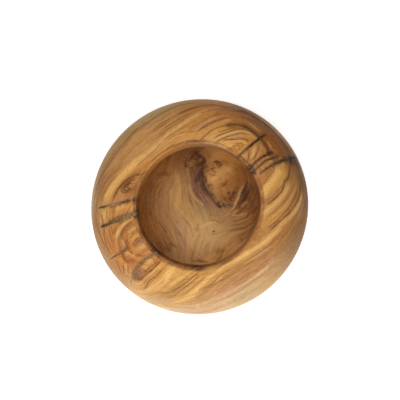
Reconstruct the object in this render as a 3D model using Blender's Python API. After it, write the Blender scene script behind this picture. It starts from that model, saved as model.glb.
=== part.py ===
"""Turned olive-wood yarn bowl with filled drying cracks.

Units are metres and +Z is up. The origin is the centre of the foot, on the surface that
the bowl stands on, and +X runs along the grain of the wood.

The bowl is one block of wood, turned inside and out on a lathe: a foot with a shallow
recess, a round belly, a shoulder that closes in over the yarn, and a narrow mouth with a
steep lip. Wood shrinks across the grain as it dries, so the bowl ends up slightly oval and
splits where the grain ends, on its +X and -X sides. Each split is filled with dark resin
and grit, and each filling is a piece of its own that sits in a groove of the bowl.
"""
import math

import bmesh
import bpy
from mathutils import Vector

# ---------------------------------------------------------------- driving dimensions
BODY_RADIUS = 0.075          # at the girth, the widest level
GIRTH_HEIGHT = 0.048         # level of the girth above the table
SHOULDER_RISE = 0.055        # height of the quarter ellipse that closes in from the girth
MOUTH_RADIUS = 0.0395        # narrowest opening, at the lower edge of the lip
LIP_FLARE = 0.0022           # how much wider the mouth is at the top edge of the lip
WALL = 0.008                 # thickness of the side and the shoulder
FLOOR_THICKNESS = 0.011      # wood left under the middle of the inside
FLOOR_FULLNESS = 2.4         # 2 makes the inside an ellipse, more makes its floor flatter
FOOT_RADIUS = 0.036
FOOT_RING_WIDTH = 0.008      # flat ring that the bowl stands on
FOOT_RECESS_DEPTH = 0.0012
TOP_ARRIS = 0.0018           # rounding of the lip's top edge
LOWER_ARRIS = 0.0010         # rounding of the lip's lower edge
FOOT_ARRIS = 0.0010          # rounding of the foot's outer edge
SHRINKAGE = 0.023            # share of the width across the grain lost in drying

CLEARANCE = 0.0003           # between a filling and its groove
FILL_OVERSTAND = 0.002       # how far a filling's blank stands out before it is trimmed
FILL_ROOT_SHARE = 0.55       # width of a filling at its bottom, as a share of its top
FILL_TIP_SHARE = 0.45        # width and depth of a filling at its closed ends
MOUTH_OVERRUN = 0.10         # how far a split that opens at the mouth is drawn past it

AROUND = 64                  # facets round the axis
SHOULDER_STEPS = 11
BELLY_STEPS = 9
INSIDE_STEPS = 9
FLOOR_STEPS = 9
ARRIS_STEPS = 3
FILL_STEPS = 10

# Each split: its route over the shoulder, its width and its depth. A route's first number
# is the share of the way from the mouth (0) down to the girth (1), and its second is the
# angle round the axis in degrees, from +X. A split that starts at 0 opens at the mouth.
SPLITS = {
    "right_crack_fill_1": {"route": [(0.00, 16.7), (0.22, 14.7), (0.46, 13.0)],
                           "width": 0.0019, "depth": 0.0040},
    "right_crack_fill_2": {"route": [(0.00, 0.8), (0.12, 3.0), (0.34, 1.6)],
                           "width": 0.0016, "depth": 0.0036},
    "right_crack_fill_3": {"route": [(0.00, -3.7), (0.18, -0.6), (0.31, -1.9), (0.46, -2.4)],
                           "width": 0.0013, "depth": 0.0032},
    "right_crack_fill_4": {"route": [(0.05, -7.6), (0.22, -5.7), (0.50, -6.5), (0.78, -8.1)],
                           "width": 0.0021, "depth": 0.0038},
    "left_crack_fill_1": {"route": [(0.04, 139.9), (0.22, 143.4), (0.58, 146.3)],
                          "width": 0.0016, "depth": 0.0036},
    "left_crack_fill_2": {"route": [(0.00, 152.4), (0.25, 155.4), (0.56, 157.2)],
                          "width": 0.0028, "depth": 0.0044},
    "left_crack_fill_3": {"route": [(0.21, 176.7), (0.42, 176.3), (0.67, 176.2)],
                          "width": 0.0014, "depth": 0.0030},
    "left_crack_fill_4": {"route": [(0.00, -165.6), (0.18, -169.6), (0.43, -167.8),
                                    (0.70, -164.5)],
                          "width": 0.0018, "depth": 0.0040},
}


# ------------------------------------------------------------------ scene and materials
def clear_scene():
    for item in list(bpy.data.objects):
        bpy.data.objects.remove(item, do_unlink=True)


def make_material(name, colour, roughness):
    material = bpy.data.materials.new(name)
    material.use_nodes = True
    shader = material.node_tree.nodes["Principled BSDF"]
    shader.inputs["Base Color"].default_value = (*colour, 1.0)
    shader.inputs["Roughness"].default_value = roughness
    shader.inputs["Metallic"].default_value = 0.0
    material.diffuse_color = (*colour, 1.0)
    return material


def add_object(name, mesh, material):
    item = bpy.data.objects.new(name, mesh)
    item.data.materials.append(material)
    bpy.context.scene.collection.objects.link(item)
    return item


def hide_guide(item):
    """A cutter or a blank shapes other pieces and isn't one itself."""
    item.hide_render = True
    item.display_type = "WIRE"
    return item


# --------------------------------------------------------------------- turned profile
def shoulder_point(turn):
    """Radius and height on the shoulder. A turn of 0 is the girth, 90 degrees the axis."""
    return Vector((BODY_RADIUS * math.cos(turn),
                   GIRTH_HEIGHT + SHOULDER_RISE * math.sin(turn)))


def shoulder_normal(turn):
    return Vector((math.cos(turn) / BODY_RADIUS, math.sin(turn) / SHOULDER_RISE)).normalized()


def under_shoulder_point(turn):
    """The inside of the shoulder, one wall thickness in from the outside."""
    return shoulder_point(turn) - WALL * shoulder_normal(turn)


def turn_at_radius(curve, radius):
    """The turn at which a curve of the shoulder comes in to a radius, by halving."""
    low, high = 0.0, math.pi / 2
    for _ in range(50):
        middle = (low + high) / 2
        if curve(middle).x > radius:
            low = middle
        else:
            high = middle
    return (low + high) / 2


LIP_TURN = turn_at_radius(shoulder_point, MOUTH_RADIUS + LIP_FLARE)
UNDER_LIP_TURN = turn_at_radius(under_shoulder_point, MOUTH_RADIUS)


def belly_point(turn):
    """The outside below the girth: an ellipse that meets the table at the foot."""
    foot_turn = math.acos(FOOT_RADIUS / BODY_RADIUS)
    drop = GIRTH_HEIGHT / math.sin(foot_turn)
    return Vector((BODY_RADIUS * math.cos(turn * foot_turn),
                   GIRTH_HEIGHT - drop * math.sin(turn * foot_turn)))


def hollow_point(turn):
    """The inside below the girth: a superellipse that ends at the middle of the floor."""
    power = 2 / FLOOR_FULLNESS
    depth = GIRTH_HEIGHT - FLOOR_THICKNESS
    return Vector(((BODY_RADIUS - WALL) * math.cos(turn) ** power,
                   GIRTH_HEIGHT - depth * math.sin(turn) ** power))


def turned_profile():
    """The half section of the bowl, from the middle of the foot round to the floor."""
    recess_radius = FOOT_RADIUS - FOOT_RING_WIDTH
    points = [Vector((0.0, FOOT_RECESS_DEPTH)), Vector((recess_radius, FOOT_RECESS_DEPTH)),
              Vector((recess_radius + FOOT_RECESS_DEPTH, 0.0))]
    points += [belly_point(1 - step / BELLY_STEPS) for step in range(BELLY_STEPS)]
    points += [shoulder_point(LIP_TURN * step / SHOULDER_STEPS)
               for step in range(SHOULDER_STEPS + 1)]
    points += [under_shoulder_point(UNDER_LIP_TURN * (1 - step / INSIDE_STEPS))
               for step in range(INSIDE_STEPS)]
    points += [hollow_point(math.pi / 2 * step / FLOOR_STEPS) for step in range(FLOOR_STEPS)]
    points.append(Vector((0.0, FLOOR_THICKNESS)))
    return points


def ring_edges(mesh, point):
    """The edges of the turned ring that passes through a point of the profile."""
    def on_ring(vertex):
        radius = math.hypot(vertex.co.x, vertex.co.y)
        return (Vector((radius, vertex.co.z)) - point).length < 0.00001
    return [edge for edge in mesh.edges if all(on_ring(vertex) for vertex in edge.verts)]


def shrink_across_grain(mesh):
    bmesh.ops.scale(mesh, vec=(1.0, 1.0 - SHRINKAGE, 1.0), verts=mesh.verts)


def turned_mesh(name):
    """Spin the profile, round its arrises and let the wood dry to its oval shape."""
    mesh = bmesh.new()
    points = turned_profile()
    vertices = [mesh.verts.new((point.x, 0.0, point.y)) for point in points]
    edges = [mesh.edges.new(pair) for pair in zip(vertices, vertices[1:])]
    bmesh.ops.spin(mesh, geom=vertices + edges, cent=(0, 0, 0), axis=(0, 0, 1),
                   angle=math.tau, steps=AROUND, use_merge=True)
    bmesh.ops.remove_doubles(mesh, verts=mesh.verts, dist=0.000001)
    bmesh.ops.recalc_face_normals(mesh, faces=mesh.faces)
    arrises = [(shoulder_point(LIP_TURN), TOP_ARRIS),
               (under_shoulder_point(UNDER_LIP_TURN), LOWER_ARRIS),
               (Vector((FOOT_RADIUS, 0.0)), FOOT_ARRIS)]
    for point, width in arrises:
        bmesh.ops.bevel(mesh, geom=ring_edges(mesh, point), offset=width, offset_type="OFFSET",
                        segments=ARRIS_STEPS, profile=0.5, affect="EDGES", clamp_overlap=True)
    shrink_across_grain(mesh)
    data = bpy.data.meshes.new(name)
    mesh.to_mesh(data)
    mesh.free()
    data.shade_smooth()
    data.set_sharp_from_angle(angle=math.radians(35))
    return data


# --------------------------------------------------------------- splits and their fillings
def smooth_angle(route, share):
    """The angle of a route at a share of the shoulder, on a smooth curve through its points.

    Ahead of its first point, where a split is drawn past the mouth, a route runs straight.
    """
    knots = [Vector(point) for point in route]
    knots = [2 * knots[0] - knots[1]] + knots + [2 * knots[-1] - knots[-2]]
    span = 1
    while span < len(knots) - 3 and share > knots[span + 1].x:
        span += 1
    before, start, end, after = knots[span - 1:span + 3]
    length = end.x - start.x
    part = (share - start.x) / length
    slope_in = (end.y - before.y) / (end.x - before.x) * length
    slope_out = (after.y - start.y) / (after.x - start.x) * length
    if part < 0:
        return start.y + slope_in * part
    blend = part * part * (3 - 2 * part)
    return (start.y + (end.y - start.y) * blend + slope_in * part * (1 - part) ** 2
            - slope_out * part * part * (1 - part))


def split_outline(split, share, margin):
    """The four corners of a split at one share of the shoulder, widened by a margin."""
    first, last = split["route"][0][0], split["route"][-1][0]
    progress = min(max((share - first) / (last - first), 0.0), 1.0)
    if first > 0:
        fullness = math.sin(math.pi * progress)
    else:
        fullness = math.cos(math.pi / 2 * progress)
    size = FILL_TIP_SHARE + (1 - FILL_TIP_SHARE) * math.sqrt(max(fullness, 0.0))
    half_width = split["width"] / 2 * size
    depth = split["depth"] * size + margin

    turn = LIP_TURN * (1 - share)
    angle = math.radians(smooth_angle(split["route"], share))
    radial = Vector((math.cos(angle), math.sin(angle), 0.0))
    sideways = Vector((-math.sin(angle), math.cos(angle), 0.0))
    place, normal = shoulder_point(turn), shoulder_normal(turn)
    surface = place.x * radial + Vector((0, 0, place.y))
    outward = normal.x * radial + Vector((0, 0, normal.y))
    top = half_width + margin
    root = half_width * FILL_ROOT_SHARE + margin
    return [surface + FILL_OVERSTAND * outward - top * sideways,
            surface + FILL_OVERSTAND * outward + top * sideways,
            surface - depth * outward + root * sideways,
            surface - depth * outward - root * sideways]


def split_mesh(name, split, margin):
    """A closed strip along a split's route: the blank of its filling, or its groove's cutter."""
    shoulder_length = LIP_TURN * (BODY_RADIUS + SHOULDER_RISE) / 2
    first, last = split["route"][0][0], split["route"][-1][0]
    first -= margin / shoulder_length if first > 0 else MOUTH_OVERRUN
    last += margin / shoulder_length
    mesh = bmesh.new()
    rings = []
    for step in range(FILL_STEPS + 1):
        share = first + (last - first) * step / FILL_STEPS
        rings.append([mesh.verts.new(corner) for corner in split_outline(split, share, margin)])
    for ring, following in zip(rings, rings[1:]):
        for side in range(4):
            other = (side + 1) % 4
            mesh.faces.new((ring[side], ring[other], following[other], following[side]))
    mesh.faces.new(rings[0])
    mesh.faces.new(rings[-1])
    bmesh.ops.recalc_face_normals(mesh, faces=mesh.faces)
    shrink_across_grain(mesh)
    data = bpy.data.meshes.new(name)
    mesh.to_mesh(data)
    mesh.free()
    return data


def add_boolean(item, tool, operation):
    modifier = item.modifiers.new(tool.name, "BOOLEAN")
    modifier.operation = operation
    modifier.solver = "EXACT"
    modifier.object = tool


# ----------------------------------------------------------------------------- assembly
def build():
    clear_scene()
    wood = make_material("oiled_olive_wood", (0.45, 0.22, 0.07), 0.42)
    blank_wood = make_material("uncut_olive_wood", (0.45, 0.22, 0.07), 0.42)
    bowl = add_object("bowl", turned_mesh("bowl"), wood)
    blank = hide_guide(add_object("bowl_before_splits", turned_mesh("bowl_blank"), blank_wood))
    for name, split in SPLITS.items():
        filler = make_material(name + "_resin", (0.035, 0.030, 0.026), 0.35)
        filling = add_object(name, split_mesh(name, split, 0.0), filler)
        add_boolean(filling, blank, "INTERSECT")
        cutter = split_mesh(name + "_groove", split, CLEARANCE)
        groove = hide_guide(add_object(name + "_groove", cutter, filler))
        add_boolean(bowl, groove, "DIFFERENCE")


build()
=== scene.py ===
# %% [markdown]
# # A turned olive-wood yarn bowl
# One block of olive wood, turned inside and out, with a shoulder that closes in over a ball
# of yarn. Both ends of the grain cracked as the wood dried, and the cracks were filled with
# dark resin and grit. This lesson turns the bowl, cuts and fills the cracks, draws the
# figure of the wood and mixes the two materials.

# %% Open the frame
import math

import bpy
import numpy as np
from mathutils import Matrix, Vector


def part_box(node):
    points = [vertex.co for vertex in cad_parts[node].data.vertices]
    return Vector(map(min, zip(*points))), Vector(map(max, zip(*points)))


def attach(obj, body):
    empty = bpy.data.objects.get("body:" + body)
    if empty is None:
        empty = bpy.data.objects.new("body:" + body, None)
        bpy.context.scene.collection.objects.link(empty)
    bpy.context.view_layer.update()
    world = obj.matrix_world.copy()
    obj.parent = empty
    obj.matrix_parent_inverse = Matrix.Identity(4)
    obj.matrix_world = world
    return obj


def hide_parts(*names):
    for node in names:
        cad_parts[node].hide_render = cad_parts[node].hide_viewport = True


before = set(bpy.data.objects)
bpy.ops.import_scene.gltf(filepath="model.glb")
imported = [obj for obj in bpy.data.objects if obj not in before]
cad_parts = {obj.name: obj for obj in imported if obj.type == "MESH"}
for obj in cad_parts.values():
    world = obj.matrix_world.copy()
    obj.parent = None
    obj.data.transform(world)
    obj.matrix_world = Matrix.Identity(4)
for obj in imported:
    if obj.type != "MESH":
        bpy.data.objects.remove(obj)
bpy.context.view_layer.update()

print("solids in the frame:", sorted(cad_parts))

# %% [markdown]
# ## Sizes
# A turned piece needs only a handful of lengths. The widest radius and the shrinkage are
# read from the solid bowl, and the others are the turner's own: metres, +Z up, the foot's
# centre at the origin and +X along the grain.

# %% Sizes of the turned bowl
MM = 0.001
rim_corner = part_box("bowl")[1]
BODY_RADIUS = round(rim_corner.x, 4)    # at the girth, the widest level
SHRINKAGE = round(1 - rim_corner.y / rim_corner.x, 3)    # lost across the grain in drying
GIRTH_HEIGHT = 0.048       # level of the girth above the table
SHOULDER_RISE = 0.055      # height of the quarter ellipse that closes in from the girth
MOUTH_RADIUS = 0.0395      # narrowest opening, at the lower edge of the lip
LIP_FLARE = 0.0022         # how much wider the mouth is at the lip's top edge
WALL = 0.008               # thickness of the side and the shoulder
FLOOR_THICKNESS = 0.011    # wood left under the middle of the inside
FLOOR_FULLNESS = 2.4       # 2 makes the inside an ellipse, more makes its floor flatter
FOOT_RADIUS = 0.036
FOOT_RING_WIDTH = 0.008    # flat ring that the bowl stands on
FOOT_RECESS_DEPTH = 0.0012
TOP_ARRIS = 0.0018         # rounding of the lip's top edge
LOWER_ARRIS = 0.0010       # rounding of the lip's lower edge
FOOT_ARRIS = 0.0010        # rounding of the foot's outer edge
print("girth", 2 * BODY_RADIUS / MM, "mm along the grain,", SHRINKAGE, "narrower across it")

# %% [markdown]
# ## The profile
# A turner follows one template for the outside and one for the inside. Here they are four
# curves: a quarter ellipse for the shoulder, the same one a wall thickness further in, a
# part of an ellipse for the belly, and a fuller curve for the hollow. Drawing the curves as
# formulas keeps the wall even, which points set by eye would not.


# %% Curves of the profile
def shoulder_point(turn):
    """Radius and height on the shoulder. A turn of 0 is the girth, a quarter turn the axis."""
    return Vector((BODY_RADIUS * math.cos(turn), GIRTH_HEIGHT + SHOULDER_RISE * math.sin(turn)))


def shoulder_normal(turn):
    return Vector((math.cos(turn) / BODY_RADIUS, math.sin(turn) / SHOULDER_RISE)).normalized()


def under_shoulder_point(turn):
    """The inside of the shoulder, one wall thickness in from the outside."""
    return shoulder_point(turn) - WALL * shoulder_normal(turn)


def belly_point(turn):
    """The belly, from the girth at 0 to the edge of the foot at 1."""
    foot_turn = math.acos(FOOT_RADIUS / BODY_RADIUS)
    drop = GIRTH_HEIGHT / math.sin(foot_turn)
    return Vector((BODY_RADIUS * math.cos(turn * foot_turn),
                   GIRTH_HEIGHT - drop * math.sin(turn * foot_turn)))


def hollow_point(turn):
    """The inside below the girth: fuller than an ellipse, so that its floor is flatter."""
    power = 2 / FLOOR_FULLNESS
    depth = GIRTH_HEIGHT - FLOOR_THICKNESS
    return Vector(((BODY_RADIUS - WALL) * max(math.cos(turn), 0.0) ** power,
                   GIRTH_HEIGHT - depth * math.sin(turn) ** power))


def turn_at_radius(curve, radius):
    """The turn at which a curve comes in to a radius."""
    low, high = 0.0, math.pi / 2
    for _ in range(50):
        middle = (low + high) / 2
        if curve(middle).x > radius:
            low = middle
        else:
            high = middle
    return (low + high) / 2


LIP_TURN = turn_at_radius(shoulder_point, MOUTH_RADIUS + LIP_FLARE)
UNDER_LIP_TURN = turn_at_radius(under_shoulder_point, MOUTH_RADIUS)
print("edge of the lip, before it is rounded:", round(shoulder_point(LIP_TURN).y / MM, 1), "mm up")


# %% Points along the curves
def stretch(curve, first, last, spacing):
    """Points along a curve from one turn to another, about evenly spaced in length."""
    samples = 600
    fine = [curve(first + (last - first) * step / samples) for step in range(samples + 1)]
    length = [0.0]
    for a, b in zip(fine, fine[1:]):
        length.append(length[-1] + (b - a).length)
    count = max(2, round(length[-1] / spacing))
    points = []
    at = 0
    for step in range(count + 1):
        goal = length[-1] * step / count
        while at < samples and length[at + 1] < goal:
            at += 1
        at = min(at, samples - 1)
        part = (goal - length[at]) / max(length[at + 1] - length[at], 1e-12)
        points.append(fine[at].lerp(fine[at + 1], min(part, 1.0)))
    return points


def rounded(points, corner, width, steps=4):
    """Replace a sharp corner of the profile by a small round arris."""
    here = min(range(len(points)), key=lambda i: (points[i] - corner).length)
    before = after = here
    while (points[before] - corner).length < width:
        before -= 1
    while (points[after] - corner).length < width:
        after += 1
    start = corner + (points[before] - corner).normalized() * width
    end = corner + (points[after] - corner).normalized() * width
    arc = []
    for step in range(steps + 1):
        t = step / steps
        arc.append(start * (1 - t) ** 2 + 2 * corner * t * (1 - t) + end * t * t)
    return points[:before + 1] + arc + points[after:]


print("points along the shoulder:", len(stretch(shoulder_point, 0.0, LIP_TURN, 0.8 * MM)))


# %% The whole profile
def turned_profile():
    """Half the section, from the middle of the foot round the outside to the inside floor."""
    recess = FOOT_RADIUS - FOOT_RING_WIDTH
    foot_in = Vector((recess + FOOT_RECESS_DEPTH, 0.0))
    foot_out = Vector((FOOT_RADIUS, 0.0))
    middle = Vector((0.0, FOOT_RECESS_DEPTH))
    lip, under_lip = shoulder_point(LIP_TURN), under_shoulder_point(UNDER_LIP_TURN)
    wall_foot = math.radians(52)    # below this turn the inside is seen through the mouth
    points = [middle.lerp(Vector((recess, FOOT_RECESS_DEPTH)), step / 10) for step in range(11)]
    points += [foot_in.lerp(foot_out, step / 5) for step in range(5)]
    points += stretch(belly_point, 1.0, 0.0, 2.2 * MM)[:-1]
    points += stretch(shoulder_point, 0.0, LIP_TURN, 0.8 * MM)
    points += [lip.lerp(under_lip, step / 9) for step in range(1, 9)]
    points += stretch(under_shoulder_point, UNDER_LIP_TURN, 0.0, 3.0 * MM)[:-1]
    points += stretch(hollow_point, 0.0, wall_foot, 2.4 * MM)[:-1]
    points += stretch(hollow_point, wall_foot, math.pi / 2, 0.85 * MM)[:-1]
    points.append(Vector((0.0, FLOOR_THICKNESS)))
    points = rounded(points, foot_out, FOOT_ARRIS)
    points = rounded(points, lip, TOP_ARRIS, 5)
    return rounded(points, under_lip, LOWER_ARRIS)


AROUND = 432    # facets round the axis, fine enough to hold the drawn figure
profile = turned_profile()
print("profile points", len(profile), "triangles", 2 * len(profile) * AROUND)

# %% [markdown]
# ## Turning the bowl
# A lathe makes a round piece from one profile, and Blender's Screw modifier does the same:
# a chain of edges is extruded point by point and swept round the axis. A stack of cylinders
# would show its steps, and a sculpted ball would wobble. The fine mesh also carries the
# figure of the wood later. Last, the bowl is squeezed a little across the grain.


# %% Helpers for the tools
def start_clean():
    """Leave edit mode and deselect everything, so that a tool acts on one piece alone."""
    if bpy.context.object and bpy.context.object.mode != "OBJECT":
        bpy.ops.object.mode_set(mode="OBJECT")
    bpy.ops.object.select_all(action="DESELECT")


def take_up(piece):
    """Select one piece and make it the active one."""
    start_clean()
    piece.select_set(True)
    bpy.context.view_layer.objects.active = piece


def use_modifier(piece, kind, **settings):
    """Add a modifier, set it and apply it."""
    take_up(piece)
    modifier = piece.modifiers.new(kind.title(), kind)
    for name, value in settings.items():
        setattr(modifier, name, value)
    bpy.ops.object.modifier_apply(modifier=modifier.name)


start_clean()
print("selected before the first piece:", len(bpy.context.selected_objects))


# %% Turn the bowl
def turn_bowl(name):
    start_clean()
    bpy.ops.mesh.primitive_plane_add(size=MM)
    piece = bpy.context.object
    piece.name = name
    bpy.ops.object.mode_set(mode="EDIT")
    bpy.ops.mesh.select_all(action="SELECT")
    bpy.ops.mesh.merge(type="CENTER")
    bpy.ops.transform.translate(value=(profile[0].x, 0.0, profile[0].y))
    for a, b in zip(profile, profile[1:]):
        step = b - a
        bpy.ops.mesh.extrude_region_move(TRANSFORM_OT_translate={"value": (step.x, 0.0, step.y)})
    bpy.ops.object.mode_set(mode="OBJECT")
    use_modifier(piece, "SCREW", angle=math.tau, steps=AROUND, render_steps=AROUND,
                 use_merge_vertices=True, merge_threshold=0.00001)
    bpy.ops.object.mode_set(mode="EDIT")
    bpy.ops.mesh.select_all(action="SELECT")
    bpy.ops.mesh.remove_doubles(threshold=0.00001)
    bpy.ops.mesh.normals_make_consistent(inside=False)
    bpy.ops.transform.resize(value=(1.0, 1.0 - SHRINKAGE, 1.0), center_override=(0, 0, 0))
    bpy.ops.object.mode_set(mode="OBJECT")
    bpy.ops.object.shade_smooth()
    return piece


bowl = turn_bowl("turned_bowl")
print("turned bowl with", len(bowl.data.vertices), "vertices")

# %% [markdown]
# ## The filled cracks
# The bowl cracked at both ends of the grain, where a log always does. The cracks were picked
# clean, filled with dark resin and grit, and sanded flush with the wood. So each groove is
# cut out of the turned bowl, and each filling is its own piece: a wedge that is trimmed by
# the same turned shape. A crack wanders, which no tool operator gives, so the wedge's
# corners are worked out along its route.

# %% Routes of the cracks
CLEARANCE = 0.00005       # between a filling and its groove, too fine to be seen
FILL_OVERSTAND = 0.002    # how far a filling's blank stands out before it is trimmed
FILL_ROOT_SHARE = 0.55    # width of a filling at its bottom, as a share of its top
FILL_TIP_SHARE = 0.45     # width and depth of a filling near its ends, as a share of its middle
MOUTH_OVERRUN = 0.10      # share by which a crack that opens at the mouth is drawn past it
FILL_STEPS = 44

# Each crack has a width, a depth and its route. A place on the route is the share of the
# way from the lip (0) down to the girth (1), and the angle from +X in degrees.
CRACKS = {
    "right_crack_fill_1": (0.0019, 0.0040, (0, 16.7), (0.22, 14.7), (0.46, 13.0)),
    "right_crack_fill_2": (0.0016, 0.0036, (0, 0.8), (0.12, 3.0), (0.34, 1.6)),
    "right_crack_fill_3": (0.0013, 0.0032, (0, -3.7), (0.18, -0.6), (0.31, -1.9), (0.46, -2.4)),
    "right_crack_fill_4": (0.0021, 0.0038, (0.05, -7.6), (0.22, -5.7), (0.50, -6.5), (0.78, -8.1)),
    "left_crack_fill_1": (0.0016, 0.0036, (0.04, 139.9), (0.22, 143.4), (0.58, 146.3)),
    "left_crack_fill_2": (0.0028, 0.0044, (0, 152.4), (0.25, 155.4), (0.56, 157.2)),
    "left_crack_fill_3": (0.0014, 0.0030, (0.21, 176.7), (0.42, 176.3), (0.67, 176.2)),
    "left_crack_fill_4": (0.0018, 0.0040, (0, -165.6), (0.18, -169.6), (0.43, -167.8), (0.70, -164.5)),
}
print("cracks to fill:", len(CRACKS))


# %% How a crack wanders
def smooth_angle(route, share):
    """The angle of a route at a share of the shoulder, on a smooth curve through its points."""
    knots = [Vector(point) for point in route]
    knots = [2 * knots[0] - knots[1]] + knots + [2 * knots[-1] - knots[-2]]
    span = 1
    while span < len(knots) - 3 and share > knots[span + 1].x:
        span += 1
    before, start, end, after = knots[span - 1:span + 3]
    length = end.x - start.x
    part = (share - start.x) / length
    slope_in = (end.y - before.y) / (end.x - before.x) * length
    slope_out = (after.y - start.y) / (after.x - start.x) * length
    if part < 0:
        return start.y + slope_in * part
    blend = part * part * (3 - 2 * part)
    return (start.y + (end.y - start.y) * blend + slope_in * part * (1 - part) ** 2
            - slope_out * part * part * (1 - part))


def ragged(share, side, seed):
    """How much wider or narrower one edge of a crack is at one place."""
    return (0.12 * math.sin(41 * share + 5 * side + seed)
            + 0.12 * math.sin(97 * share + 11 * side + 2 * seed)
            + 0.10 * math.sin(173 * share + 3 * side + 3 * seed))


for name, (_, _, *route) in CRACKS.items():
    print(name, "lies at", round(smooth_angle(route, 0.25), 1), "degrees, a quarter of the way down")


# %% Four corners at one place of a crack
def crack_corners(crack, share, margin, seed):
    """The four corners of a crack at one share of the shoulder, widened by a margin."""
    width, depth, *route = crack
    first, last = route[0][0], route[-1][0]
    progress = min(max((share - first) / (last - first), 0.0), 1.0)
    fullness = math.sin(math.pi * progress) if first > 0 else math.cos(math.pi / 2 * progress)
    size = FILL_TIP_SHARE + (1 - FILL_TIP_SHARE) * math.sqrt(max(fullness, 0.0))
    end_gap = min(progress if first > 0 else 1.0, 1.0 - progress)
    size *= min(1.0, 0.25 + 8 * end_gap)
    half_width = width / 2 * size
    depth = depth * size + margin
    angle = math.radians(smooth_angle(route, share))
    radial = Vector((math.cos(angle), math.sin(angle), 0.0))
    sideways = Vector((-math.sin(angle), math.cos(angle), 0.0))
    turn = LIP_TURN * (1 - share)
    place, normal = shoulder_point(turn), shoulder_normal(turn)
    surface = place.x * radial + Vector((0, 0, place.y))
    outward = normal.x * radial + Vector((0, 0, normal.y))
    corners = []
    for side, level, narrowing in ((-1, FILL_OVERSTAND, 1), (1, FILL_OVERSTAND, 1),
                                   (1, -depth, FILL_ROOT_SHARE), (-1, -depth, FILL_ROOT_SHARE)):
        reach = half_width * (1.05 + ragged(share, side, seed)) * narrowing + margin
        corner = surface + level * outward + side * reach * sideways
        corner.y *= 1 - SHRINKAGE
        corners.append(corner)
    return corners


for name, crack in CRACKS.items():
    left, right = crack_corners(crack, (crack[2][0] + crack[-1][0]) / 2, 0, 0)[:2]
    print(name, "is", round((right - left).length / MM, 1), "mm wide half-way along")


# %% A wedge along a crack
def wedge(name, crack, margin, seed):
    """A closed strip along a crack's route."""
    shoulder_length = LIP_TURN * (BODY_RADIUS + SHOULDER_RISE) / 2
    first, last = crack[2][0], crack[-1][0]
    first -= margin / shoulder_length if first > 0 else MOUTH_OVERRUN
    last += margin / shoulder_length
    corners, faces = [], [(3, 2, 1, 0)]
    for step in range(FILL_STEPS + 1):
        corners += crack_corners(crack, first + (last - first) * step / FILL_STEPS, margin, seed)
        if step:
            ring = 4 * step
            faces += [(ring + a - 4, ring + (a + 1) % 4 - 4, ring + (a + 1) % 4, ring + a)
                      for a in range(4)]
    faces.append(tuple(4 * FILL_STEPS + a for a in range(4)))
    mesh = bpy.data.meshes.new(name)
    mesh.from_pydata(corners, [], faces)
    piece = bpy.data.objects.new(name, mesh)
    bpy.context.scene.collection.objects.link(piece)
    take_up(piece)
    bpy.ops.object.mode_set(mode="EDIT")
    bpy.ops.mesh.select_all(action="SELECT")
    bpy.ops.mesh.normals_make_consistent(inside=False)
    bpy.ops.object.mode_set(mode="OBJECT")
    return piece


# %% Trim the fillings and cut the grooves
fillings = {}
cutters = []
for seed, (name, crack) in enumerate(CRACKS.items()):
    filling = wedge("resin_in_" + name.replace("_fill", ""), crack, 0.0, seed)
    use_modifier(filling, "BOOLEAN", operation="INTERSECT", solver="EXACT", object=bowl)
    fillings[name] = filling
    cutters.append(wedge("cutter", crack, CLEARANCE, seed))
start_clean()
for cutter in cutters:
    cutter.select_set(True)
bpy.context.view_layer.objects.active = cutters[0]
bpy.ops.object.join()
use_modifier(bowl, "BOOLEAN", operation="DIFFERENCE", solver="EXACT", object=cutters[0])
bpy.data.objects.remove(cutters[0])
for filling in fillings.values():
    take_up(filling)
    bpy.ops.object.shade_smooth_by_angle(angle=math.radians(35))
    print(filling.name, "has", len(filling.data.vertices), "corners")
take_up(bowl)
bpy.ops.object.shade_smooth_by_angle(angle=math.radians(40))

# %% [markdown]
# ## Drawing the figure
# Olive wood is known for its figure: pale and dark growth layers that swirl round knots and
# old wounds. No formula gives the figure of one block, so it is drawn, the way a
# decorative painter grains a door: first broad tints, then bands and lines on top. Places
# are given in plan, in thousandths of the bowl's radius: the first number runs along the
# grain (+X), the second across it (+Y). A tint is a place and a colour. A stroke is a
# colour, a half width in millimetres, a strength and the places that it runs through. It is
# dropped onto the wood, so it keeps its width where the surface falls away.

# %% Colours of olive wood, oiled
WOOD = {
    "straw": "#E4B26C", "honey": "#D6A05C", "amber": "#C98E4B", "tan": "#BA8450",
    "rust": "#AC6E36", "umber": "#93603A", "walnut": "#744828", "bark": "#54331F",
    "ash": "#9C7C58", "cream": "#DBB384", "rose": "#B67E58", "plum": "#7E5443",
    "ink": "#47302A", "olive": "#B3945E", "orange": "#DF9748", "chalk": "#E9CFA4",
    "gold": "#F4BC68", "russet": "#84441F", "coffee": "#3E2309",
}


def linear(hex_colour):
    """An sRGB colour such as #C98E4B as the linear numbers that the shaders use."""
    channels = [int(hex_colour[place:place + 2], 16) / 255 for place in (1, 3, 5)]
    return [c / 12.92 if c <= 0.04045 else ((c + 0.055) / 1.055) ** 2.4 for c in channels]


print("the palette holds", len(WOOD), "colours")
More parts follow.
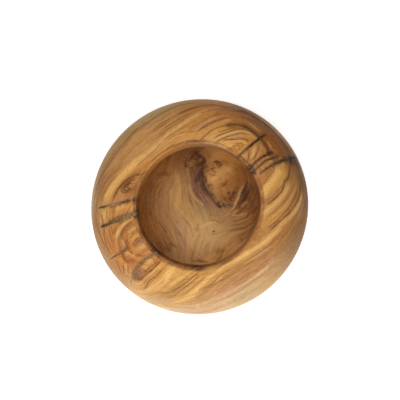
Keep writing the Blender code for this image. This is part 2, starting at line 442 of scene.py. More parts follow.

# %% Broad tints of the shoulder
# Along the edge of the right-hand end the tints run darker, partly as painted shade on the side away from
# the lamps. Along the edge of the lower side towards the left they run paler, partly as a painted highlight.
SHOULDER_TINTS = [
    (-790, 580, "#CAA579"), (-620, 730, "#BA9160"), (-450, 850, "#B48C56"), (-250, 910, "#B28A50"),
    (0, 930, "#BC9860"), (250, 920, "#B8965E"), (450, 850, "#B5834A"), (630, 730, "#B07A42"),
    (770, 600, "#805226"), (-500, 700, "#C48C56"), (-300, 750, "#C8935A"), (-100, 760, "#CC985C"),
    (100, 760, "#C9935A"), (300, 720, "#C48D52"), (480, 660, "#CC8840"), (620, 580, "#C67E3E"),
    (720, 500, "#AE703A"), (-350, 700, "#C68F55"), (-100, 690, "#C68E54"), (120, 700, "#C68E52"),
    (0, 560, "#E4A458"), (200, 550, "#E2A054"), (360, 600, "#CA8A44"), (500, 560, "#CE8E48"),
    (-120, 550, "#D89A52"), (450, 440, "#E6A460"), (560, 400, "#E0A054"), (660, 380, "#C47E36"),
    (780, 400, "#8A4E22"), (870, 300, "#7A4A24"), (500, 300, "#F4B468"), (580, 270, "#E8A25C"),
    (680, 220, "#DA9240"), (740, 200, "#CC8638"), (840, 150, "#8A4B16"), (900, 100, "#884A08"),
    (600, 100, "#E49E5C"), (700, 60, "#D08C42"), (800, 20, "#A45E28"), (620, -50, "#CC8856"),
    (600, -120, "#C88654"), (720, -120, "#DC9C48"), (880, -40, "#86460C"), (940, 300, "#5E3A12"),
    (960, 0, "#6A3E10"), (930, -200, "#6E4618"), (550, -210, "#F0B460"), (720, -200, "#E8AA54"),
    (480, -300, "#BE8650"), (600, -300, "#C08850"), (800, -280, "#BA8448"), (450, -400, "#DCA760"),
    (620, -420, "#C88E52"), (740, -400, "#BC854A"), (860, -400, "#805222"), (350, -460, "#CE924E"),
    (500, -470, "#CC8F4C"), (700, -560, "#A2703A"), (600, -620, "#A06E3A"), (400, -660, "#B07642"),
    (500, -750, "#9E7850"), (700, -670, "#8C6436"), (200, -720, "#B08058"), (300, -840, "#BC9466"),
    (120, -900, "#D4AA74"), (0, -720, "#B68858"), (-200, -720, "#C0926A"), (-100, -900, "#D2B387"),
    (-350, -840, "#DEBC8E"), (-500, -760, "#D4A880"), (-660, -680, "#DCBF99"), (-800, -540, "#DEC69D"),
    (-400, -660, "#BC8A5A"), (50, -610, "#C08B47"), (-250, -600, "#C28E49"), (-550, -600, "#D0A05C"),
    (200, -540, "#B07A44"), (-100, -550, "#BE8842"), (-300, -530, "#BE8A42"), (-450, -560, "#BC8842"),
    (-500, -480, "#B8864E"), (-650, -480, "#B5834E"), (-800, -440, "#BE9060"), (-450, -420, "#C49048"),
    (-620, -420, "#D0A058"), (-550, -340, "#CFA058"), (-720, -360, "#E2B066"), (-880, -320, "#E8BC80"),
    (-600, -260, "#BC874C"), (-750, -280, "#BC8850"), (-850, -260, "#C4925C"), (-600, -190, "#C88440"),
    (-750, -200, "#A87048"), (-600, -100, "#B87444"), (-720, -100, "#BE7C3E"), (-850, -80, "#C68346"),
    (-940, -120, "#C09569"), (-620, 120, "#C48240"), (-560, 200, "#C88A46"), (-720, 100, "#B0703A"),
    (-780, 0, "#B8723A"), (-840, 60, "#C07E46"), (-920, 50, "#BC7E46"), (-600, 240, "#C48C4C"),
    (-740, 240, "#C8884A"), (-830, 220, "#C48448"), (-900, 250, "#B8824E"), (-950, 150, "#C09B76"),
    (-560, 360, "#D29B5C"), (-660, 360, "#D49450"), (-740, 400, "#D49C56"), (-840, 400, "#AE7C4C"),
    (-660, 620, "#A87A48"), (-460, 340, "#C89052"), (-440, 420, "#B68052"), (-550, 450, "#C28A5A"),
    (-360, 460, "#B47844"), (980, 120, "#D8A874"), (930, 320, "#C89C6C"), (860, 480, "#A87E52"),
    (700, 670, "#C49B6A"), (980, -120, "#B88A50"), (450, 870, "#B4905E"), (-720, 660, "#C6A975"),
    (-400, 890, "#B8945A"),
]
print(len(SHOULDER_TINTS), "tints")

# %% Bands and lines of the upper side
UPPER_SIDE = [
    ("umber", 1.8, 0.75, (-720, 610), (-620, 690), (-520, 745), (-420, 785), (-300, 822), (-200, 850),
        (-100, 875), (0, 880)),
    ("umber", 1.5, 0.55, (-60, 875), (100, 880), (200, 877), (300, 862), (400, 838), (500, 790)),
    ("umber", 1.2, 0.6, (-500, 762), (-420, 790), (-340, 812), (-260, 838)),
    ("rust", 1.3, 0.7, (-300, 800), (-200, 832), (-120, 860), (-60, 868), (0, 870), (80, 868)),
    ("rust", 0.5, 0.6, (-220, 852), (-150, 872), (-80, 890), (-20, 895), (40, 893)),
    ("umber", 1.6, 0.4, (-700, 635), (-600, 715), (-500, 770), (-400, 810), (-300, 840)),
    ("rust", 1.2, 0.4, (0, 780), (100, 775), (250, 765), (400, 745), (500, 715)),
    ("honey", 1, 0.5, (-100, 740), (0, 745), (100, 750), (200, 752), (300, 748)),
    ("ash", 1.3, 0.5, (-830, 470), (-780, 540), (-710, 620), (-620, 700)),
    ("umber", 1.2, 0.5, (-810, 450), (-760, 520), (-700, 590), (-630, 655), (-520, 715)),
    ("rust", 1.9, 0.6, (-700, 575), (-640, 615), (-560, 650), (-460, 668), (-340, 678)),
    ("amber", 2, 0.4, (-450, 735), (-320, 755), (-200, 770), (-80, 785)),
    ("honey", 1.5, 0.5, (-180, 800), (-80, 812), (40, 810), (160, 808), (300, 805)),
    ("umber", 0.6, 0.5, (40, 785), (120, 794), (200, 790), (300, 784), (400, 770), (500, 745)),
    ("rust", 2, 0.55, (340, 775), (450, 750), (550, 715), (620, 670), (680, 615), (740, 550), (780, 490)),
    ("umber", 0.7, 0.6, (300, 782), (420, 760), (520, 735), (600, 695), (670, 640), (730, 570)),
    ("umber", 0.5, 0.45, (100, 735), (200, 740), (300, 737), (380, 730), (480, 713), (560, 690), (630, 655)),
    ("umber", 0.6, 0.35, (-20, 700), (100, 708), (220, 712), (340, 708), (440, 700)),
    ("amber", 1.2, 0.5, (420, 730), (520, 705), (600, 670), (660, 625)),
    ("umber", 0.9, 0.5, (520, 660), (600, 635), (660, 600), (710, 550), (750, 500)),
    ("gold", 3.2, 0.8, (-670, 505), (-600, 547), (-500, 582), (-400, 602), (-300, 618), (-200, 628)),
    ("straw", 2, 0.85, (-300, 628), (-200, 638), (-100, 638), (0, 642), (80, 655)),
    ("straw", 1.3, 0.75, (0, 648), (100, 668), (200, 675), (300, 677), (400, 680), (480, 672)),
    ("honey", 1.2, 0.6, (320, 690), (420, 690), (500, 680), (560, 665)),
    ("umber", 0.55, 0.5, (-710, 530), (-660, 563), (-580, 603), (-520, 625), (-440, 640)),
    ("umber", 0.5, 0.3, (-280, 592), (-200, 600), (-120, 610), (-50, 617), (0, 630), (60, 650)),
    ("amber", 1, 0.5, (50, 645), (130, 650), (200, 648), (300, 643), (360, 650)),
    ("rust", 0.5, 0.4, (70, 655), (150, 650), (250, 650), (340, 650)),
    ("honey", 2.4, 0.75, (-160, 575), (-50, 585), (60, 592), (160, 598), (260, 594)),
    ("umber", 0.5, 0.3, (-140, 553), (-50, 563), (50, 568), (150, 572), (240, 566)),
    ("rust", 1.2, 0.45, (-300, 520), (-220, 545), (-120, 558), (0, 562), (120, 555)),
    ("umber", 0.5, 0.35, (300, 600), (400, 605), (500, 595), (580, 580), (650, 550)),
    ("umber", 0.6, 0.35, (360, 545), (440, 550), (520, 545), (600, 530), (660, 505)),
    ("cream", 1, 0.35, (300, 545), (400, 568), (500, 572), (580, 560)),
    ("umber", 1, 0.5, (560, 585), (640, 590), (720, 550), (780, 500), (820, 460)),
    ("walnut", 0.8, 0.45, (680, 600), (740, 555), (790, 490), (830, 430)),
    # These two strokes along the lip are painted shade of its rounded edge.
    ("umber", 0.6, 0.5, (220, 530), (270, 505), (300, 480), (310, 460)),
    ("ash", 1, 0.5, (180, 535), (240, 515), (280, 490)),
]
print(len(UPPER_SIDE), "strokes")

# %% The right-hand end, where the growth layers run out in arches
RIGHT_END = [
    ("honey", 1.3, 0.7, (310, 505), (380, 515), (460, 518), (540, 512), (600, 497), (660, 472)),
    ("umber", 0.6, 0.4, (400, 540), (500, 535), (580, 522), (640, 505), (700, 472)),
    ("orange", 0.5, 0.7, (610, 478), (650, 472), (690, 458)),
    ("orange", 0.4, 0.6, (580, 497), (630, 492), (680, 478)),
    ("walnut", 0.5, 0.45, (330, 462), (380, 475), (450, 480), (500, 478), (550, 468), (600, 450),
        (640, 430)),
    ("walnut", 2.1, 0.8, (590, 452), (650, 422), (700, 385), (735, 345), (760, 300), (775, 255), (788, 200)),
    ("bark", 0.8, 0.6, (610, 442), (650, 425), (680, 400)),
    ("bark", 1.5, 0.8, (710, 375), (745, 325), (762, 285), (778, 240), (790, 190)),
    ("bark", 1.7, 0.8, (787, 220), (795, 170), (793, 120), (788, 70), (772, 32)),
    ("walnut", 2.4, 0.7, (790, 170), (790, 100), (783, 50)),
    ("umber", 1.4, 0.6, (795, 0), (782, -30), (765, -55), (750, -80)),
    ("rust", 1.8, 0.6, (660, 470), (720, 440), (770, 385), (800, 320), (815, 250)),
    ("honey", 0.6, 0.5, (780, 360), (808, 300), (828, 230)),
    ("umber", 0.8, 0.5, (700, 475), (760, 430), (800, 370), (830, 300), (845, 230)),
    # The coffee strokes along the outer edge are partly the wood's dark streak and partly painted shade on
    # the side away from the lamps.
    ("coffee", 1.3, 0.45, (740, 535), (785, 490), (820, 450), (860, 380), (895, 290), (915, 200)),
    ("bark", 0.6, 0.7, (785, 495), (820, 450), (855, 390), (885, 320)),
    ("coffee", 1.4, 0.9, (895, 320), (917, 250), (934, 170), (944, 90), (948, 10), (948, -60), (944, -120)),
    ("coffee", 1.8, 0.6, (790, 510), (830, 465), (865, 400), (895, 330)),
    ("bark", 0.5, 0.7, (955, -160), (950, -240), (930, -320), (900, -400), (860, -480)),
    ("bark", 0.4, 0.6, (930, -200), (915, -280), (885, -370), (845, -450)),
    ("coffee", 1.6, 0.6, (955, -130), (945, -190), (915, -290), (875, -380), (825, -470), (770, -560)),
    ("walnut", 1.8, 0.5, (930, -160), (900, -250), (860, -350), (810, -440)),
    ("bark", 0.5, 0.6, (770, 560), (820, 500), (860, 430), (895, 350), (920, 270)),
    ("umber", 1.1, 0.5, (895, 130), (903, 30), (900, -60)),
    ("honey", 0.7, 0.6, (350, 447), (420, 455), (500, 455), (560, 443), (600, 425)),
    ("rust", 0.6, 0.6, (500, 432), (560, 420), (620, 400), (670, 370), (710, 335)),
    ("umber", 0.5, 0.7, (430, 408), (500, 403), (560, 393), (620, 378), (660, 362), (700, 335), (730, 300)),
    ("straw", 0.7, 0.9, (420, 395), (500, 387), (560, 375), (620, 360), (670, 340), (710, 310), (735, 275),
        (750, 235)),
    ("rust", 0.5, 0.75, (420, 372), (500, 363), (560, 352), (620, 335), (670, 315), (710, 285), (738, 250)),
    ("rose", 1, 0.4, (420, 370), (500, 361), (560, 350), (620, 333), (670, 313), (710, 283)),
    ("honey", 0.6, 0.7, (450, 355), (520, 347), (580, 333), (640, 310), (690, 275)),
    ("rust", 0.5, 0.85, (490, 352), (530, 340), (565, 318), (600, 298), (640, 276), (670, 253), (682, 232),
        (675, 210), (665, 195)),
    ("rose", 1, 0.5, (550, 325), (600, 300), (640, 278), (670, 253), (682, 232), (672, 205)),
    ("gold", 2.6, 0.9, (465, 345), (490, 315), (515, 292), (550, 280)),
    ("straw", 0.7, 0.7, (560, 300), (610, 275), (640, 250), (652, 225), (645, 200)),
    ("orange", 1.2, 0.5, (700, 260), (735, 235), (755, 205)),
    ("rust", 0.5, 0.8, (505, 262), (530, 255), (558, 250), (582, 240), (592, 225), (582, 208), (560, 197)),
    ("rust", 0.4, 0.6, (570, 262), (600, 248), (620, 230), (615, 210), (600, 200)),
    ("rust", 0.4, 0.6, (525, 245), (545, 228), (550, 210), (540, 195)),
    ("rust", 1.3, 0.6, (487, 280), (502, 245), (517, 210), (533, 180)),
    ("rose", 1, 0.6, (642, 160), (627, 132), (605, 103), (580, 83), (555, 75)),
    ("rust", 0.45, 0.7, (640, 158), (625, 130), (603, 101), (578, 81), (553, 73)),
    ("rose", 1.1, 0.6, (742, 172), (735, 148), (722, 122), (700, 100), (660, 80), (610, 64), (575, 57)),
    ("rust", 0.45, 0.8, (740, 170), (733, 146), (720, 120), (698, 98), (658, 78), (608, 62)),
    ("rust", 0.5, 0.6, (775, 150), (765, 120), (750, 90), (720, 70)),
    ("rose", 0.9, 0.4, (665, 158), (650, 130), (630, 112)),
    ("straw", 1.1, 0.8, (705, 155), (685, 125), (650, 100), (610, 82)),
    ("honey", 1.2, 0.6, (762, 130), (750, 100), (735, 75)),
    ("rust", 1.2, 0.7, (543, 140), (548, 100), (558, 65), (570, 45)),
    ("bark", 0.6, 0.5, (545, 120), (552, 85), (562, 55)),
    ("orange", 0.9, 0.6, (835, 130), (825, 90), (820, 60)),
    ("rust", 1.5, 0.35, (845, 140), (855, 80), (855, 20), (855, -40)),
    ("umber", 1, 0.7, (762, -88), (720, -115), (680, -135), (620, -152), (565, -160)),
    ("rust", 1.4, 0.5, (720, -95), (660, -108), (600, -118), (560, -120)),
    ("gold", 2.8, 0.8, (490, -250), (560, -220), (640, -195), (720, -170), (790, -140)),
    ("honey", 1.4, 0.6, (740, -125), (790, -115), (840, -130)),
    ("bark", 2.2, 0.75, (925, -105), (905, -125), (885, -150)),
    ("walnut", 1.2, 0.85, (900, -135), (870, -170), (840, -205), (800, -240), (760, -262)),
    ("walnut", 1.5, 0.6, (942, -120), (930, -170), (915, -215), (930, -250)),
    ("umber", 0.8, 0.5, (900, -170), (870, -220), (820, -265), (770, -300)),
    ("walnut", 0.6, 0.85, (800, -238), (760, -256), (720, -283), (680, -307), (630, -323), (570, -331),
        (520, -331), (480, -322)),
    ("rust", 0.6, 0.6, (640, -290), (680, -280), (720, -265), (760, -240)),
    ("umber", 1.6, 0.35, (460, -300), (520, -305), (600, -300), (680, -285)),
    ("straw", 1.6, 0.75, (380, -375), (460, -378), (540, -373), (620, -360), (700, -335), (780, -290)),
    ("umber", 0.8, 0.4, (420, -420), (520, -420), (620, -410), (700, -385), (770, -345), (830, -300)),
    ("honey", 0.9, 0.5, (440, -445), (540, -440), (640, -427), (720, -400), (800, -355)),
    ("umber", 0.6, 0.55, (360, -500), (420, -505), (500, -500), (550, -490), (600, -480), (650, -465),
        (700, -442), (760, -410), (820, -365)),
    ("walnut", 0.6, 0.75, (380, -532), (450, -532), (500, -526), (550, -517), (600, -510), (650, -500),
        (700, -482), (750, -457), (800, -425), (840, -390), (875, -340)),
    ("umber", 0.9, 0.4, (300, -490), (360, -515), (440, -520), (520, -510)),
    ("rust", 1, 0.4, (360, -548), (420, -550), (470, -545)),
    ("straw", 1.9, 0.85, (460, -552), (530, -545), (600, -540), (660, -528), (720, -505), (780, -470),
        (830, -425)),
    ("ash", 2.2, 0.5, (660, -600), (720, -565), (780, -515), (840, -450), (885, -370)),
    ("umber", 1.6, 0.5, (720, -590), (790, -520), (860, -430), (910, -320), (940, -200)),
    ("walnut", 0.8, 0.4, (840, -460), (890, -370), (925, -260), (945, -150)),
]
print(len(RIGHT_END), "strokes")

# %% The lower side, where wide bands run from end to end
LOWER_SIDE = [
    ("straw", 2.6, 0.75, (-840, -500), (-760, -570), (-680, -600), (-600, -612), (-500, -610), (-400, -595)),
    ("straw", 1.5, 0.65, (-480, -605), (-380, -590), (-280, -575), (-180, -568), (-60, -570), (50, -575)),
    ("straw", 2.2, 0.85, (-40, -572), (60, -580), (160, -585), (260, -592), (360, -588), (440, -572),
        (500, -560)),
    ("umber", 0.5, 0.3, (-600, -575), (-500, -572), (-400, -560), (-300, -548)),
    ("amber", 1, 0.5, (-620, -560), (-520, -557), (-420, -548), (-340, -530)),
    ("walnut", 0.5, 0.75, (-640, -487), (-560, -496), (-480, -499), (-420, -492), (-350, -486),
        (-300, -473)),
    ("umber", 0.6, 0.6, (-700, -527), (-620, -533), (-540, -530), (-460, -522), (-400, -517), (-330, -500)),
    ("umber", 1.4, 0.4, (-760, -465), (-680, -478), (-600, -478), (-520, -470), (-420, -462)),
    ("umber", 1, 0.35, (-720, -500), (-620, -510), (-540, -510), (-440, -505)),
    ("honey", 0.8, 0.5, (-500, -507), (-440, -507), (-380, -500)),
    ("umber", 0.4, 0.5, (-220, -545), (-170, -550), (-120, -545)),
    ("rust", 1.2, 0.5, (120, -550), (180, -565), (240, -568), (300, -555)),
    ("umber", 1.6, 0.4, (220, -525), (300, -530), (360, -530)),
    ("umber", 0.9, 0.6, (-500, -657), (-430, -661), (-350, -657), (-270, -652), (-150, -658)),
    ("umber", 0.5, 0.6, (-440, -645), (-360, -640), (-280, -630), (-200, -617), (-120, -622), (0, -632),
        (100, -640), (220, -643), (340, -635), (440, -625)),
    ("honey", 0.7, 0.5, (-280, -642), (-180, -630), (-80, -638), (40, -648), (140, -655), (240, -660),
        (330, -655)),
    ("umber", 0.5, 0.6, (-200, -635), (-100, -640), (0, -645), (60, -652)),
    ("umber", 1, 0.55, (-260, -668), (-140, -664), (0, -667), (120, -680), (220, -688), (320, -678)),
    ("rust", 2.2, 0.4, (300, -640), (420, -625), (540, -605), (640, -575)),
    ("umber", 1.4, 0.4, (440, -640), (540, -630), (620, -605)),
    ("tan", 3, 0.4, (-360, -700), (-200, -710), (0, -715), (200, -730), (360, -720)),
    ("rose", 1.8, 0.4, (-340, -735), (-200, -745), (-50, -750), (100, -755), (300, -760)),
    # The cream strokes along the lower edge are partly pale wood and partly a painted highlight, where a
    # gloss would catch the near lamp.
    ("cream", 1.3, 0.5, (-300, -785), (-180, -795), (-50, -800), (80, -800), (200, -792), (280, -780)),
    ("cream", 1.2, 0.35, (-500, -780), (-380, -815), (-250, -840), (-100, -855), (100, -850)),
    ("tan", 1, 0.4, (-400, -780), (-280, -812), (-150, -825), (0, -828), (150, -825)),
    ("tan", 0.9, 0.35, (-450, -840), (-300, -875), (-150, -895), (0, -900), (150, -890)),
    ("cream", 2, 0.5, (-760, -600), (-680, -660), (-580, -740), (-480, -810)),
    ("rose", 1.2, 0.35, (-780, -545), (-700, -620), (-620, -680), (-540, -740)),
    ("chalk", 0.8, 0.35, (-525, -750), (-510, -720), (-505, -710)),
    ("chalk", 0.9, 0.3, (-335, -730), (-320, -715), (-305, -715)),
    ("chalk", 0.4, 0.4, (40, -800), (100, -790), (150, -795), (200, -785)),
    ("chalk", 0.5, 0.3, (80, -810), (130, -805), (190, -810)),
    ("chalk", 0.8, 0.15, (-420, -760), (-450, -735), (-440, -720)),
    ("chalk", 0.8, 0.15, (-160, -758), (-190, -740)),
    ("chalk", 0.4, 0.3, (220, -775), (260, -760), (290, -755)),
]
print(len(LOWER_SIDE), "strokes")

# %% The left-hand end, with a small eye and a knot
LEFT_END = [
    ("straw", 2.4, 0.7, (-930, -300), (-860, -345), (-780, -372), (-700, -380), (-620, -365), (-540, -340),
        (-480, -320)),
    ("straw", 1, 0.5, (-620, -440), (-540, -438), (-460, -440), (-400, -445)),
    ("rust", 0.6, 0.12, (-840, -410), (-760, -420), (-700, -420), (-600, -412), (-500, -400)),
    ("rust", 0.6, 0.75, (-840, -337), (-800, -326), (-770, -312), (-740, -301), (-680, -297), (-620, -290),
        (-570, -280)),
    ("rust", 0.5, 0.45, (-800, -300), (-750, -280), (-680, -270), (-600, -262)),
    ("straw", 1.1, 0.65, (-870, -280), (-800, -268), (-720, -262), (-620, -250), (-550, -235)),
    ("plum", 1.8, 0.6, (-870, -200), (-830, -200), (-780, -190), (-740, -175)),
    ("plum", 1.4, 0.5, (-850, -218), (-800, -225), (-740, -212), (-690, -195)),
    ("rose", 1.2, 0.5, (-720, -190), (-660, -178), (-600, -175)),
    ("walnut", 0.6, 0.85, (-830, -240), (-780, -243), (-720, -238), (-670, -235), (-630, -232), (-590, -222),
        (-555, -210), (-530, -197)),
    ("umber", 0.6, 0.6, (-740, -218), (-680, -208), (-620, -205), (-570, -192)),
    ("honey", 2.4, 0.7, (-710, -175), (-650, -170), (-600, -165)),
    ("umber", 0.5, 0.4, (-600, -145), (-588, -170), (-602, -190)),
    ("rust", 1.4, 0.75, (-790, 50), (-802, 10), (-807, -30), (-795, -70)),
    ("walnut", 0.6, 0.6, (-795, 40), (-808, 0), (-810, -35), (-797, -65)),
    ("umber", 1.7, 0.55, (-800, -50), (-770, -65), (-735, -70)),
    ("umber", 1.1, 0.65, (-705, -52), (-670, -65), (-620, -60), (-560, -58)),
    ("rust", 0.5, 0.7, (-735, 20), (-725, -10), (-712, -35), (-700, -55)),
    ("honey", 1, 0.8, (-775, 30), (-755, 15), (-745, -10)),
    ("honey", 1.1, 0.7, (-735, -40), (-722, -30), (-700, -25)),
    ("honey", 1.5, 0.6, (-660, -10), (-620, -20), (-580, -30)),
    ("rust", 0.8, 0.5, (-655, -30), (-630, -45), (-600, -40)),
    ("orange", 2, 0.5, (-840, 20), (-850, -20), (-860, -50)),
    ("honey", 0.9, 0.7, (-825, -50), (-845, -85), (-870, -120), (-885, -140)),
    ("umber", 0.5, 0.6, (-840, -20), (-860, -60), (-885, -100), (-900, -120)),
    ("umber", 0.5, 0.5, (-820, -80), (-840, -110), (-860, -135)),
    ("rust", 0.7, 0.5, (-880, 20), (-895, -30), (-910, -80), (-915, -120)),
    ("rose", 1.6, 0.25, (-935, 0), (-940, -80), (-930, -160)),
    ("rust", 1.2, 0.5, (-900, -130), (-885, -160), (-875, -180)),
    ("plum", 1.6, 0.6, (-668, 25), (-640, 44), (-605, 46), (-575, 28)),
    ("plum", 1.4, 0.5, (-660, 18), (-620, 20), (-575, 20)),
    ("umber", 0.4, 0.35, (-683, 20), (-672, 42), (-648, 62), (-610, 67), (-580, 52), (-560, 30)),
    ("honey", 0.8, 0.35, (-675, 75), (-640, 90), (-600, 88), (-570, 75)),
    ("rust", 0.4, 0.4, (-670, 102), (-630, 112), (-570, 106)),
    ("rose", 1, 0.4, (-670, 8), (-620, 3), (-575, 6)),
    ("umber", 1.2, 0.75, (-550, 205), (-600, 207), (-650, 200), (-700, 186), (-735, 168), (-758, 148),
        (-778, 115), (-790, 80), (-800, 50)),
    ("plum", 1, 0.4, (-660, 197), (-700, 184), (-735, 165), (-758, 145), (-775, 110)),
    ("umber", 1.3, 0.7, (-710, 155), (-740, 125), (-757, 90), (-765, 55)),
    ("honey", 0.7, 0.6, (-720, 135), (-740, 105), (-750, 75)),
    ("plum", 1.4, 0.7, (-698, 115), (-706, 90), (-722, 60), (-735, 40)),
    ("straw", 1, 0.85, (-520, 236), (-580, 237), (-640, 230), (-700, 218), (-745, 197), (-772, 170)),
    ("rust", 0.4, 0.6, (-530, 219), (-600, 220), (-660, 214), (-700, 203)),
    ("umber", 0.4, 0.7, (-535, 182), (-580, 186), (-630, 181), (-670, 166)),
    ("umber", 0.4, 0.6, (-540, 163), (-590, 166), (-640, 160)),
    ("rust", 0.45, 0.7, (-545, 142), (-590, 141), (-640, 145), (-675, 135)),
    ("umber", 0.4, 0.5, (-550, 122), (-600, 125), (-640, 126)),
    ("straw", 0.7, 0.6, (-560, 153), (-610, 155), (-650, 153)),
    ("walnut", 0.6, 0.85, (-245, 503), (-280, 522), (-330, 538), (-380, 545), (-430, 543), (-480, 532),
        (-530, 512), (-570, 492), (-595, 472), (-620, 458)),
    ("rust", 2.4, 0.6, (-320, 515), (-420, 522), (-500, 505), (-550, 480)),
    ("rust", 2.4, 0.4, (-350, 455), (-420, 445), (-500, 455)),
    ("umber", 0.6, 0.5, (-300, 518), (-360, 530), (-430, 529), (-500, 513)),
    ("umber", 1, 0.7, (-560, 492), (-545, 500), (-525, 498)),
    ("umber", 0.6, 0.65, (-318, 503), (-350, 515), (-400, 518), (-450, 510), (-482, 492), (-485, 478),
        (-460, 460), (-420, 447), (-380, 447), (-350, 460), (-325, 487)),
    ("bark", 1, 0.8, (-395, 497), (-415, 499), (-438, 492)),
    ("walnut", 0.5, 0.9, (-372, 490), (-385, 503), (-415, 508), (-445, 500), (-460, 485), (-450, 470),
        (-425, 463), (-400, 468), (-385, 480)),
    ("walnut", 0.4, 0.8, (-410, 475), (-425, 473), (-438, 480)),
    ("amber", 0.5, 0.5, (-447, 490), (-440, 480), (-430, 472)),
    ("amber", 0.6, 0.5, (-402, 487), (-390, 478)),
    ("honey", 0.6, 0.5, (-530, 480), (-515, 492), (-500, 490)),
    ("rust", 0.8, 0.7, (-235, 507), (-255, 498), (-270, 485)),
    ("rust", 1, 0.7, (-630, 445), (-645, 415), (-665, 380), (-690, 340), (-700, 325)),
    ("umber", 0.6, 0.5, (-615, 425), (-640, 395), (-660, 360)),
    ("straw", 2.2, 0.8, (-770, 385), (-745, 410), (-710, 425)),
    ("straw", 1.4, 0.6, (-610, 385), (-570, 375), (-520, 360)),
    ("orange", 1.6, 0.4, (-600, 355), (-540, 345), (-480, 330)),
    ("umber", 0.6, 0.7, (-760, 435), (-775, 400), (-790, 365), (-810, 330)),
    ("umber", 0.6, 0.4, (-700, 440), (-720, 400), (-740, 370)),
    ("straw", 1, 0.5, (-790, 410), (-810, 375)),
    ("ash", 1.2, 0.6, (-800, 500), (-840, 440), (-870, 370), (-900, 270), (-920, 170), (-930, 60)),
    ("umber", 0.6, 0.6, (-810, 470), (-845, 400), (-870, 330), (-890, 250), (-905, 160)),
    ("rust", 0.7, 0.8, (-805, 330), (-835, 285), (-860, 240), (-880, 190), (-895, 130), (-898, 80)),
    ("orange", 1, 0.6, (-830, 335), (-860, 290), (-878, 240)),
    ("honey", 0.8, 0.5, (-885, 330), (-900, 270), (-912, 200)),
    ("rust", 1, 0.5, (-835, 240), (-855, 180), (-865, 110)),
    ("orange", 1.5, 0.65, (-775, 175), (-795, 140), (-820, 100), (-840, 75)),
    ("umber", 0.9, 0.7, (-765, 300), (-785, 260), (-805, 210), (-820, 160)),
    ("umber", 0.5, 0.5, (-740, 305), (-760, 260), (-780, 215)),
    ("umber", 0.5, 0.45, (-620, 262), (-680, 255), (-730, 240), (-765, 215)),
    ("rust", 1.5, 0.4, (-700, 285), (-730, 260), (-755, 220)),
]
print(len(LEFT_END), "strokes")

# %% Stains where the resin soaked in beside the cracks
CRACK_STAINS = [
    ("bark", 0.9, 0.8, (-725, 482), (-705, 474), (-690, 466)),
    ("walnut", 1.6, 0.5, (-670, 455), (-600, 425), (-520, 395), (-460, 375)),
    ("ink", 1.4, 0.6, (-500, 388), (-470, 380)),
    ("ink", 2.2, 0.8, (-450, 372), (-430, 362)),
    ("bark", 1.1, 0.85, (-830, 342), (-800, 335), (-770, 325)),
    ("bark", 2, 0.5, (-760, 333), (-680, 318), (-600, 298), (-520, 268)),
    ("walnut", 1.2, 0.5, (-680, 280), (-600, 262), (-540, 245)),
    ("ink", 2.6, 0.95, (-515, 262), (-500, 250), (-490, 240)),
    ("walnut", 1.4, 0.6, (-820, 50), (-770, 47), (-730, 42)),
    ("cream", 1.1, 0.5, (-950, 65), (-920, 62), (-880, 58)),
    ("bark", 1.3, 0.5, (-840, -185), (-780, -150), (-700, -128), (-620, -130), (-550, -135)),
    ("ink", 2.4, 0.8, (-550, -145), (-535, -155)),
    ("cream", 0.9, 0.5, (-930, -250), (-890, -215), (-850, -190)),
    ("bark", 1.2, 0.5, (570, 161), (620, 168), (700, 180), (780, 190)),
    ("bark", 1.2, 0.85, (770, 190), (800, 191), (840, 188)),
    ("bark", 1.3, 0.6, (565, 16), (640, 30), (710, 37), (780, 28)),
    ("bark", 1.4, 0.8, (750, 35), (780, 27), (805, 18)),
    ("bark", 1.2, 0.55, (570, -28), (640, -15), (720, -8), (780, -22)),
    ("bark", 1.5, 0.7, (770, -22), (800, -30), (840, -35)),
    ("umber", 1.8, 0.5, (580, -78), (660, -72), (740, -75), (820, -88)),
    ("umber", 1.8, 0.4, (780, -5), (830, -12), (880, -30), (890, -60)),
    ("ink", 1.5, 0.8, (730, -74), (770, -77), (820, -85)),
    ("ink", 2.3, 0.9, (850, -90), (900, -103), (935, -120), (975, -145)),
    ("coffee", 2.4, 0.7, (880, -115), (910, -140), (940, -170), (955, -190)),
    ("coffee", 1.8, 0.7, (905, -110), (925, -145), (935, -185), (930, -230)),
    ("coffee", 1.2, 0.7, (830, 192), (845, 190), (855, 185)),
    ("ink", 2.4, 0.9, (560, 15), (555, 5)),
    ("ink", 2.4, 0.85, (562, -30), (556, -42)),
    ("ink", 1.3, 0.8, (755, 40), (770, 32), (790, 25)),
    ("coffee", 1.3, 0.8, (775, 32), (795, 24), (815, 16)),
    ("ash", 1.2, 0.5, (530, 165), (540, 155), (550, 150)),
]
print(len(CRACK_STAINS), "strokes")
